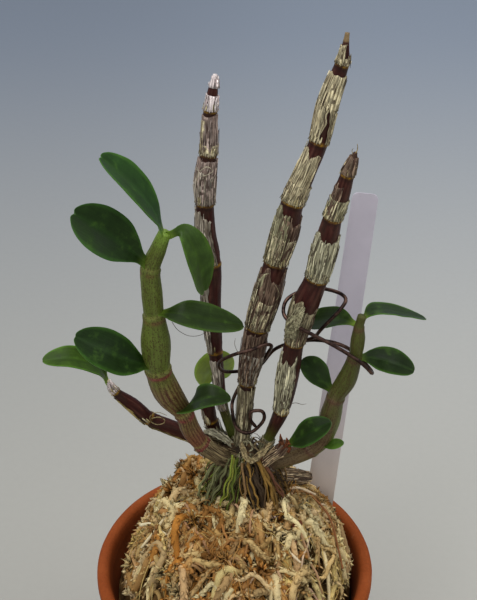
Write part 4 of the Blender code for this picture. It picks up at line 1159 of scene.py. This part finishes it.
def loose_bits():
    """Frayed tufts, bare stems, golden fibres, straws and two small pellets."""
    shape = Shape()
    tufts, petals = 90, 22
    distance = 35.0 * np.sqrt(draw.random(tufts))
    place = draw.uniform(0, 2 * math.pi, tufts)
    x, y = distance * np.cos(place), distance * np.sin(place)
    x[:len(FIRST_TUFTS)], y[:len(FIRST_TUFTS)] = zip(*FIRST_TUFTS)
    core = spots(x, y, heap(x, y) + draw.uniform(0.4, 2.0, tufts))
    lean = unit(spots(x / 38 + draw.normal(0, 0.5, tufts), y / 38 + draw.normal(0, 0.5, tufts), 1))
    out = unit(draw.normal(0, 1, (tufts, petals, 3)) + lean[:, None] * 0.9)
    width = unit(np.cross(out, draw.normal(0, 1, (tufts, petals, 3))))
    size = draw.uniform(0.7, 1.3, (tufts, petals)) * column(0.7, 1.3, tufts)
    paint = moss_paint(x, y, tufts)[:, None] * draw.uniform(0.75, 1.15, (tufts, petals))[..., None]
    foot = core[:, None] + out * 0.2
    leaflets(shape, foot, out, width, np.cross(width, out), size * 3.0, size * 0.55, paint)
    steps = 16
    for count, low, high, base, arch, girth, tones in LOOSE_LINES:
        xs, ys, _, _ = moss_lines(count, low, high, steps, 0.16, 34.0)
        centres = spots(xs, ys, heap(xs, ys) + sway(count, steps, base, arch))
        radius = girth * column(0.7, 1.3, count) * (1 - 0.4 * np.linspace(0, 1, steps) ** 2)
        colour = blend_tones(*tones, draw.random(count))
        colour = blend_tones(colour, tone("9a5f2a"), rust_share(xs[:, 0], ys[:, 0]) * 0.7)
        shape.add_tubes(round_rings(centres, radius, sides=6), colour[:, None, None])
    for points, girth, colour in LOOSE_BITS:
        line = smooth_path(points, 7)
        radius = girth * (1 + 0.15 * np.sin(np.arange(len(line)) * 1.3))
        shape.add_tubes(round_rings(line, radius, sides=9), colour)
    for at, size, heading in PELLETS:
        t = np.linspace(0, math.pi, 12)
        angle = turns(16)[:, None]
        middle = np.array((*at, heap(*at) + 1.6))
        axis = np.array((math.cos(heading), math.sin(heading), 0.15))
        across = np.array((-math.sin(heading), math.cos(heading), 0.0))
        rise = np.cross(axis, across)
        outward = across * np.cos(angle) + rise * np.sin(angle)
        outward = 0.68 * outward * np.sin(t)[:, None, None]
        rings = middle + size * (outward - axis * np.cos(t)[:, None, None])
        rings = rings * (1 + 0.004 * lumps(rings, 0.7))[..., None]
        shape.add_tubes(rings, tone("6b3a26"))
    shape.piece("moss_loose_bits", LOOKS["moss"], "dried_moss")


# The woody root stock: its core, the rhizome across it and a branch to the back.
STOCK = [
    [(3.2, 5.8, 45.2, 2.9), (3.3, 5.4, 41.0, 5.0), (3.5, 4.8, 36.0, 5.8), (3.8, 4.4, 30.0, 7.4),
     (4.0, 4.2, 21.0, 8.4)],
    [(-6.3, 8.4, 40.6, 2.0), (-2.5, 7.2, 41.2, 3.1), (3.5, 5.0, 41.8, 3.9), (9.0, 3.0, 41.4, 3.0),
     (11.4, 2.2, 42.8, 1.9)],
    [(3.0, 6.0, 39.8, 3.7), (-1.0, 9.6, 40.2, 3.5), (-4.6, 12.2, 40.2, 2.6)]]

# Tones of the roots by the side they are on: old brown ones, and living ones.
ROOT_DARK = tone("33271a")
ROOT_BROWN = tone("705636")
ROOT_OCHRE = tone("85652f")
ROOT_SILVER = tone("6f6f48")
ROOT_GREEN = tone("65702a")


def tube_rows(shape, centres, radius, paint, sides, first=(1.0, 0.0, 0.0)):
    """Round tubes along many paths at once, with grain along them."""
    angle = turns(sides)
    tube, station = np.indices(centres.shape[:2])[..., None]
    far = station * 1.2 + tube * 7.0
    grain = spots(far, np.cos(angle) * 1.2, np.sin(angle) * 1.2)
    shape.add_tubes(round_rings(centres, radius, sides, first), paint, grain)


def root_paint(turn, count):
    """Silvery and green on the left, black in front, ochre and brown on the right."""
    pick = draw.random(count)
    left = np.cos(turn - math.radians(205)) > 0.55
    front = np.cos(turn - math.radians(280)) > 0.95
    right = np.cos(turn - math.radians(315)) > 0.6
    colour = blend_tones(ROOT_DARK, ROOT_BROWN, pick)
    living = blend_tones(ROOT_SILVER, ROOT_GREEN, (draw.random(count) < 0.3).astype(float))
    black = blend_tones(ROOT_DARK * 0.8, ROOT_BROWN, pick * 0.3)
    golden = blend_tones(ROOT_BROWN, ROOT_OCHRE, pick)
    for here, other in ((left & (pick > 0.45), living), (front & (pick < 0.7), black),
                        (right & (pick > 0.55), golden)):
        colour = np.where(here[:, None], other, colour)
    return colour * column(0.8, 1.5, count)


# Fine roots: how many, how far out they reach at least and at most, their radius,
# sides and waviness.
FINE_ROOTS = [(60, 10.0, 16.0, 0.6, 8, 1.3), (190, 11.0, 17.5, 0.34, 6, 1.6),
              (300, 11.0, 18.5, 0.16, 5, 2.4)]


def fine_roots(shape, count, low, high, radius, sides, wave):
    """Roots that leave the stock, hang over each other and dive into the moss."""
    steps = 16
    t = np.linspace(0, 1, steps)
    turn = column(0, 2 * math.pi, count)
    twist = draw.normal(0, 0.16, count)[:, None]
    start = column(3.8, 6.6, count)
    flare = column(low, high, count)
    top = column(36.0, 44.0, count)
    foot = column(15.0, 19.0, count)
    reach = start + (flare - start) * t ** 0.85
    reach = reach + wave * 0.6 * np.sin(t * column(4, 11, count) + column(0, 6, count))
    angle = turn + twist * t
    angle = angle + wave * 0.07 * np.sin(t * column(4, 12, count) + column(0, 6, count))
    height = top + (foot - top) * t ** 1.35
    centres = spots(3.7 + reach * np.cos(angle), 4.6 + 0.96 * reach * np.sin(angle), height)
    thick = radius * column(0.7, 1.3, count) * (1 - 0.25 * t) * (0.55 + 0.45 * ease(0.0, 0.15, t))
    tube_rows(shape, centres, thick, root_paint(turn[:, 0], count)[:, None, None], sides)


# Roots that stand out in the photograph: their line, girth and tone.
MARKED_ROOTS = [
    ([(-0.4, -1.0, 46.6), (-0.8, -3.4, 43.2), (-2.0, -5.4, 39.0), (-3.8, -6.6, 33.5), (-4.6, -6.6, 27.0)],
     0.34, tone("76802c")),
    ([(0.0, -1.0, 45.8), (-0.6, -4.0, 41.0), (-1.6, -6.0, 36.0), (-4.4, -7.0, 31.0), (-5.6, -6.8, 26.0)],
     0.28, tone("8c8c38")),
    ([(0.4, -1.2, 45.2), (0.2, -4.6, 40.0), (-0.6, -6.4, 34.6), (-2.2, -7.2, 30.0), (-2.8, -7.2, 26.0)],
     0.34, ROOT_GREEN),
    ([(-1.6, 0.0, 43.6), (-3.0, -2.4, 40.4), (-5.2, -4.2, 35.4), (-7.2, -5.2, 30.0), (-8.2, -5.2, 25.0)],
     0.42, ROOT_SILVER),
    ([(-2.8, 1.0, 42.6), (-5.2, -0.6, 39.6), (-7.4, -2.2, 34.6), (-8.8, -2.8, 29.0), (-9.2, -2.8, 24.0)],
     0.5, ROOT_SILVER * 1.1),
    ([(-3.4, 2.2, 42.0), (-6.4, 0.8, 40.2), (-8.8, -0.8, 37.0), (-10.6, -1.6, 33.0), (-11.0, -1.8, 29.0)],
     0.46, ROOT_SILVER * 1.15),
    ([(3.2, -1.6, 41.0), (4.6, -4.2, 37.0), (6.0, -5.6, 32.0), (7.0, -6.2, 27.6), (7.2, -6.4, 24.6)],
     1.35, ROOT_DARK * 1.3),
    ([(5.2, -1.6, 41.0), (7.4, -3.8, 37.5), (8.6, -5.2, 32.5), (9.2, -5.8, 25.0)],
     1.0, ROOT_DARK * 1.6),
    ([(6.8, -1.6, 45.6), (8.6, -3.0, 42.0), (9.6, -4.2, 37.6), (10.6, -4.8, 32.4), (11.4, -5.0, 26.0)],
     0.55, ROOT_OCHRE),
    ([(7.0, -1.4, 44.6), (9.6, -3.4, 40.0), (11.6, -4.4, 35.0), (12.6, -4.8, 30.0), (13.0, -4.8, 25.0)],
     0.7, ROOT_OCHRE * 0.9),
    ([(8.0, -1.0, 45.0), (10.2, -2.2, 41.0), (12.6, -3.0, 36.4), (14.8, -3.4, 31.2), (15.8, -3.2, 26.0)],
     0.55, tone("6e4630")),
    ([(4.0, -2.0, 43.4), (5.0, -4.8, 40.0), (6.4, -6.6, 35.2), (7.6, -7.2, 30.0), (8.6, -7.0, 25.0)],
     0.35, ROOT_OCHRE * 1.1),
    ([(2.4, -2.0, 44.0), (2.8, -4.8, 40.0), (3.4, -6.8, 35.0), (3.2, -7.6, 30.0), (3.0, -7.4, 25.0)],
     0.4, ROOT_BROWN * 1.3)]


def root_stock():
    """The stock's woody core, its fine roots, and thick roots as twisted bundles."""
    core = Shape()
    for points in STOCK:
        stem = Stem(points, step=0.6)
        distance, angle = stem.stations[:, None], turns(36)
        grain = stem.grain(distance, angle, 5.0)
        rise = 0.7 * lumps(grain * (0.15, 1.0, 1.0), 1.6, 2.0)
        patch = ease(-0.2, 0.5, lumps(grain * (0.3, 1, 1), 1.1))
        paint = blend_tones(ROOT_DARK * 0.7, ROOT_BROWN * 0.8, patch)
        core.add_tubes(stem.at(distance, angle, rise)[0], paint[None], grain[None])
    core.piece("root_core", LOOKS["root"], "roots", "root_stock")
    roots = Shape()
    for group in FINE_ROOTS:
        fine_roots(roots, *group)
    for points, radius, colour in MARKED_ROOTS:
        line = smooth_path(points, 7)
        count = 1 + int(radius > 0.45) + 2 * int(radius > 0.9)
        share = np.linspace(0, 1, len(line))
        thick = radius * (1.0, 0.72, 0.72, 0.58)[count - 1] * (1 - 0.25 * share)
        thick[-2:] *= (0.8, 0.45)
        apart = 0.55 * radius * (count > 1)
        for k in range(count):
            turn = 2 * math.pi * k / count + 2.4 * share
            twist = spots(np.cos(turn), np.sin(turn), 0) * apart
            waver = spots(*(lumps(line + 9.0 * k + shift, 3.2) for shift in (3.0, 37.0, 71.0)))
            shade = draw.uniform(0.75, 1.2)
            path = line + twist + 0.9 * waver
            tube_rows(roots, path[None], thick[None], colour * shade, sides=9)
    roots.piece("root_strands", LOOKS["root"], "roots")


def ribbon(shape, line, width, normal, tones, curl, seed, thick=0.16, crumple=0.3):
    """A thin closed strip of dry sheath, crumpled and curled across."""
    line = smooth_path(line, 8)
    share = np.linspace(0, 1, len(line))
    _, side, up = facing_frames(line, normal)
    half = 0.5 * np.interp(share, np.linspace(0, 1, len(width)), width)
    across = np.linspace(-1, 1, 7)
    bend = spots(share[:, None] * 9, across * 1.5, seed)
    rise = crumple * lumps(bend, 1.2) + curl * across ** 2 * half[:, None]
    ragged = 1 + 0.3 * lumps(bend * (2.0, 1.0, 1.0), 0.9, 5.0)
    base = line[:, None] + side[:, None] * (half[:, None] * across * ragged)[..., None]
    base = base + up[:, None] * rise[..., None]
    top, under = base + up[:, None] * thick / 2, base - up[:, None] * thick / 2
    grain = spots(share[:, None] * len(line), across * half[:, None] + seed, 0)
    paint = blend_tones(*tones, np.clip(0.5 + lumps(grain, 1.0, 3.0), 0, 1))
    shape.add_sheet(under, top, paint, paint, grain)


# Tones of the torn sheaths, dark and pale.
GREY_BROWN = (tone("5c4b34"), tone("8f7e5a"))
PAPER = (tone("8a7a56"), tone("b39f74"))

# Torn strips at the feet of the stems: the stem, where they start and stop, the
# side they face, the share of the way round, and the tones. Then the share of
# them that is there, and their width, lift, raggedness and flare.
CROWN_STRIPS = [
    ("shoot_left", 0.6, 8.5, -90, 1.0, GREY_BROWN, 1.0, 0.45, 0.3, 0.18, 0.3),
    ("shoot_left", 0.4, 7.0, -60, 0.9, GREY_BROWN, 0.9, 0.5, 0.5, 0.4, 0.6),
    ("cane_short", 0.0, 6.8, -90, 1.0, (tone("5f5a40"), tone("8f8a6c")), 1.0, 0.42, 0.4, 0.3, 1.2),
    ("cane_small", 0.0, 7.5, -90, 1.0, GREY_BROWN, 1.0, 0.42, 0.35, 0.4, 0.6),
    ("shoot_right", 0.4, 6.5, -90, 1.0, GREY_BROWN, 1.0, 0.42, 0.3, 0.35, 0.4),
    ("cane_tall", 0.0, 5.0, -90, 1.0, SEDGE, 0.8, 0.4, 0.35, 0.6, 0.8),
    ("cane_right", 0.0, 5.5, -90, 1.0, SEDGE, 0.8, 0.4, 0.35, 0.6, 0.8),
    ("cane_back", 0.0, 6.0, -90, 1.0, SEDGE, 0.8, 0.4, 0.35, 0.6, 0.8)]

# Papery patches at the feet of the shoots: how far below the first joint they
# stop, their tones and their seed.
CROWN_PATCHES = [("shoot_left", 0.4, GREY_BROWN, 31.0),
                 ("shoot_right", 0.2, (tone("4c3f3a"), tone("8d7d6a")), 35.0)]

# Papery ribbons at the crown: line, widths, the way they face, tones, curl, seed.
CROWN_RIBBONS = [
    ([(2.2, -1.0, 51.4), (2.6, -1.6, 49.4), (3.4, -2.2, 46.8), (4.9, -2.6, 45.0)],
     (0.8, 1.7, 1.9, 1.3), (0, -1, 0.3), PAPER, 0.5, 2.0),
    ([(4.5, -2.6, 44.8), (6.2, -2.6, 46.0), (8.0, -2.2, 48.0), (10.0, -1.6, 50.4), (11.2, -1.6, 51.4)],
     (1.2, 2.0, 2.0, 1.6, 0.7), (0, -1, 0.3), PAPER, 0.5, 5.0),
    ([(9.6, -1.4, 50.6), (8.2, -1.2, 51.8), (6.6, -1.0, 51.2), (6.2, -1.2, 49.6), (7.4, -1.8, 48.6)],
     (0.4, 0.7, 0.6, 0.6, 0.3), (0, -1, 0.2), GREY_BROWN, 0.4, 7.0),
    ([(2.0, -0.8, 49.6), (3.4, -1.0, 51.6), (5.0, -1.2, 51.0), (5.4, -1.6, 49.2), (4.4, -1.8, 48.2)],
     (0.4, 0.7, 0.6, 0.6, 0.3), (0, -1, 0.2), SEDGE, 0.4, 8.0),
    ([(-9.6, 8.6, 47.4), (-6.2, 7.6, 47.4), (-2.4, 6.4, 45.6), (0.6, 4.6, 43.4)],
     (0.9, 2.6, 2.4, 1.0), (0.1, -0.6, 0.8), (tone("8a8468"), tone("b9b298")), 0.6, 9.0),
    ([(-9.0, 5.6, 44.6), (-6.4, 4.4, 42.8), (-3.4, 3.6, 41.8), (-0.6, 2.6, 41.6)],
     (0.6, 1.6, 2.0, 0.8), (0.0, -0.8, 0.6), (tone("5a4c3c"), tone("cbbfa8")), 0.5, 12.0)]


def crown_sheaths():
    """Torn dry sheaths where the shoots and canes leave the root stock."""
    shape = Shape()
    for name, stop, tones, seed in CROWN_PATCHES:
        stem = Stem(CANES[name], step=0.4)
        membrane(shape, stem, shoot_shape, (0.8, stem.joints[0] - stop), -90, 1.0, tones, seed)
    for name, start, stop, facing, wrap, tones, *style in CROWN_STRIPS:
        girth = shoot_shape if name.startswith("shoot") else old_shape
        strips(shape, Stem(CANES[name], step=0.4), girth, (start, stop), facing, wrap, tones, *style)
    for line, widths, normal, tones, curl, seed in CROWN_RIBBONS:
        ribbon(shape, line, widths, normal, tones, curl=curl, seed=seed)
    for k in range(26):
        turn = draw.uniform(-2.9, -0.2)
        foot = (3.4 + 5.6 * math.cos(turn), 4.0 + 4.6 * math.sin(turn), draw.uniform(39.5, 45.0))
        step = draw.normal((0, -0.6, 0.6), (1.6, 0.6, 1.6))
        middle = foot + step * 0.7 + draw.normal(0, 0.4, 3)
        line = [foot, middle, foot + step * 1.4 + draw.normal(0, 0.6, 3)]
        tones = SEDGE if draw.random() < 0.6 else BONE
        ribbon(shape, line, (0.3, 0.6, 0.2), draw.normal(0, 1, 3), tones,
               thick=0.12, crumple=0.2, curl=0.3, seed=k)
    shape.piece("crown_sheaths", LOOKS["sheath"], "roots")


def stub_and_new_shoot():
    """The cut stub with its torn end, and the small shoot in its dry sheath."""
    grey = (tone("8a6f50"), tone("d0b994"))
    stem = Stem(CANES["old_stub"], step=0.4)
    core, cover = Shape(), Shape()

    def dark(stem, distance, angle):
        patch = ease(-0.4, 0.4, lumps(stem.grain(distance, angle), 1.0))
        return blend_tones(tone("3a2a20"), tone("5d4a38"), patch)

    skin(core, stem, old_shape, sides=26, paint=dark, furrow=0.2)
    core.piece("old_stub_core", LOOKS["skin"], "grey_sheath", "old_stub")
    strips(cover, stem, old_shape, (1.0, stem.length), -90, 1.0, grey, *STUB_STRIPS)
    brown = (tone("6a5642"), tone("9a866a"))
    strips(cover, stem, old_shape, (3.0, stem.length), -70, 1.0, brown, *TORN_STRIPS)
    cover.piece("old_stub_fibres", LOOKS["sheath"], "grey_sheath")
    young = Stem(CANES["new_shoot"], step=0.35)
    core, cover = Shape(), Shape()

    def striped(stem, distance, angle):
        stripe = ease(-0.2, 0.4, lumps(stem.grain(distance, angle, 1.7) * (0.05, 1.0, 1.0), 0.45, 6.0))
        return blend_tones(tone("3c2b22"), tone("8a7560"), stripe)

    skin(core, young, shoot_shape, sides=30, paint=striped, furrow=0.08)
    core.piece("new_shoot_skin", LOOKS["shoot"], "grey_sheath", "new_shoot")
    reach = (0.0, young.length * 0.8)
    strips(cover, young, shoot_shape, reach, -90, 1.0, grey, *YOUNG_STRIPS)
    collar, lip = (tone("3a241c"), tone("8a5230")), (tone("8f4f2a"), tone("4f2c20"))
    ribbon(cover, [(14.2, -3.6, 50.6), (14.3, -4.6, 53.0), (14.0, -5.0, 55.4), (13.6, -5.0, 57.8)],
           (2.6, 2.2, 1.4, 0.2), (-0.4, -0.9, 0.2), collar, thick=0.2, crumple=0.15, curl=0.4, seed=1.0)
    ribbon(cover, [(15.2, -4.4, 50.8), (15.8, -5.2, 53.0), (15.8, -5.6, 55.0), (15.4, -5.8, 57.0)],
           (2.6, 2.4, 1.6, 0.2), (0.0, -1.0, 0.3), lip, thick=0.2, crumple=0.15, curl=0.4, seed=4.0)
    cover.piece("new_shoot_sheath", LOOKS["sheath"], "grey_sheath")


# Fine hairs and threads that stand off the plant: their lines, radius and tone.
HAIRS = [
    ([(-25.0, 4.0, 56.4), (-23.0, 3.2, 57.6), (-21.2, 3.4, 56.6), (-21.4, 3.8, 54.8), (-23.4, 3.8, 54.2),
      (-25.2, 4.0, 55.2), (-25.4, 4.2, 57.2), (-23.2, 3.8, 59.0), (-20.4, 3.8, 57.8)],
     0.16, tone("b3a070")),
    ([(-17.2, -4.0, 97.4), (-15.6, -4.4, 95.0), (-12.8, -4.6, 93.2), (-9.8, -4.6, 93.2),
      (-7.0, -4.4, 94.8), (-5.6, -4.0, 96.4)], 0.09, tone("4a4238")),
    ([(16.6, -1.0, 66.0), (18.2, -1.4, 66.6), (19.8, -1.6, 66.2), (21.2, -1.6, 66.4)],
     0.1, tone("5a4c3a")),
    ([(-9.6, 10.0, 58.4), (-6.4, 9.6, 59.0), (-3.6, 9.2, 56.6), (-2.0, 9.0, 53.6)],
     0.1, tone("a8946a")),
    ([(-9.4, 21.4, 131.0), (-7.4, 20.8, 132.6), (-5.8, 20.8, 131.4), (-7.2, 20.8, 130.2),
      (-9.6, 21.0, 129.4)],
     0.13, tone("d8ccae")),
    ([(30.8, -1.6, 147.0), (31.4, -2.0, 149.0), (31.2, -2.4, 150.6)], 0.12, tone("c8a84c")),
    ([(30.4, -1.6, 147.0), (30.0, -2.2, 148.6), (30.2, -2.8, 149.6)], 0.1, tone("cdb98a")),
    ([(2.2, 3.0, 80.0), (1.2, 1.6, 82.6), (0.2, 1.0, 86.0), (0.4, 0.8, 88.4)], 0.09, tone("6a5c48")),
    ([(11.0, 7.0, 96.0), (12.6, 6.4, 98.6), (12.6, 6.2, 101.0), (11.6, 6.2, 103.0)],
     0.1, tone("c2b48c"))]


def hairs():
    """The fine hairs and threads, thinner at their tips."""
    shape = Shape()
    for points, radius, colour in HAIRS:
        line = smooth_path(points, 9)
        thick = radius * (1 - 0.5 * np.linspace(0, 1, len(line)) ** 2)
        tube_rows(shape, line[None], thick[None], colour, sides=6, first=(0.2, 0.1, 1.0))
    shape.piece("loose_hairs", LOOKS["sheath"], "old_cane")


def wire_flap():
    """A lobe of dry sheath that stands off the right cane, over the wire."""
    shape = Shape()
    line = [(15.6, -3.4, 91.6), (16.0, -4.0, 94.6), (16.6, -4.6, 97.6), (18.0, -4.4, 100.6),
            (19.4, -4.0, 102.2)]
    widths = (3.0, 3.8, 4.0, 3.0, 0.8)
    ribbon(shape, line, widths, (-0.3, -1.0, 0.2), SEDGE, thick=0.18, curl=0.3, seed=14.0)
    shape.piece("cane_right_lobe", LOOKS["sheath"], "old_cane")


# The camera's place in metres, the way it looks, and half of what it sees: as an
# angle, and in millimetres on its sensor.
CAMERA_AT = (0.0, -0.25946, 0.35319)
CAMERA_AHEAD = (0.0041, 0.83466, -0.55074)
HALF_VIEW = math.radians(15.0)
HALF_SENSOR = 18.0

# Lamps: name, place, aim, size in metres and power in watts.
LAMPS = [("overhead", (-0.10, 0.05, 1.3), (0, 0.1, 0.12), 1.0, 9.5),
         ("front_left", (-1.2, -1.4, 1.5), (0, 0, 0.14), 0.9, 10.0),
         ("right", (1.4, -0.4, 1.0), (0, 0, 0.14), 0.8, 4.0)]


def stage_and_light():
    """A pale floor, an overhead softbox with fills, and an even, cool surround."""
    mesh = bpy.data.meshes.new("pale_floor")
    mesh.from_pydata([(-4, -3, 0), (4, -3, 0), (4, 6, 0), (-4, 6, 0)], [], [(0, 1, 2, 3)])
    floor = bpy.data.objects.new("pale_floor", mesh)
    bpy.context.scene.collection.objects.link(floor)
    look = Look("floor_finish", Roughness=0.9, Specular_IOR_Level=0.1)
    split = look.node("ShaderNodeSeparateXYZ")
    look.feed(split.inputs[0], look.place)
    grain = look.noise(look.place, 3.0, 2.0)
    far_back, half_width = 780.0, 250.0
    # Painted shade: the floor is darker and bluer towards the back, and darker on the left than on the
    # right.
    far = look.band(split.outputs["Y"], 0.0, far_back)
    base = look.mix(far, tone("b1aea5"), tone("868e9a"))
    base = look.shade(base, look.band(split.outputs["X"], -half_width, half_width), 0.85, 1.06)
    look.colour(look.shade(base, grain, 0.985, 1.015))
    look.bump(grain, 0.02, 0.2)
    floor.data.materials.append(look.material)
    world = bpy.data.worlds.new("soft_room")
    world.use_nodes = True
    background = world.node_tree.nodes["Background"]
    background.inputs["Color"].default_value = (0.86, 0.92, 1.0, 1.0)
    background.inputs["Strength"].default_value = 0.55
    bpy.context.scene.world = world
    for name, place, aim, size, power in LAMPS:
        data = bpy.data.lights.new(name, "AREA")
        data.size = size
        data.energy = power
        lamp = bpy.data.objects.new(name, data)
        lamp.location = place
        lamp.rotation_euler = (Vector(aim) - Vector(place)).to_track_quat("-Z", "Y").to_euler()
        bpy.context.scene.collection.objects.link(lamp)


def place_camera():
    """The photograph's view: a little from above, 30 degrees tall."""
    forward = Vector(CAMERA_AHEAD).normalized()
    right = forward.cross(Vector((0, 0, 1))).normalized()
    up = right.cross(forward)
    data = bpy.data.cameras.new("photo_view")
    data.sensor_width = 2 * HALF_SENSOR
    data.lens = HALF_SENSOR / math.tan(HALF_VIEW)
    data.clip_start = 0.01
    camera = bpy.data.objects.new("photo_view", data)
    turn = Matrix((right, up, -forward)).transposed()
    camera.matrix_world = Matrix.Translation(CAMERA_AT) @ turn.to_4x4()
    bpy.context.scene.collection.objects.link(camera)
    bpy.context.scene.camera = camera


LOOKS = {"terracotta": terracotta_look(), "moss": moss_look(), "root": root_look(),
         "skin": skin_look(), "sheath": sheath_look(), "shoot": shoot_look(),
         "leaf": leaf_look(), "label": label_look(), "wire": wire_look()}

place_camera()
stage_and_light()
pot()
moss_core()
for layer in MOSS_LAYERS:
    moss_strands(*layer)
loose_bits()
for name in ("cane_tall", "cane_right", "cane_back", "cane_short", "cane_small"):
    old_cane(name)
shoot("shoot_left", shoot_paint)
shoot("shoot_right", right_paint)
for name, (_, midrib, width, facing) in LEAVES.items():
    leaf(name, midrib, width, facing)
root_stock()
crown_sheaths()
stub_and_new_shoot()
hairs()
wire_flap()
label()
wire()

bpy.context.scene.view_settings.view_transform = "Standard"
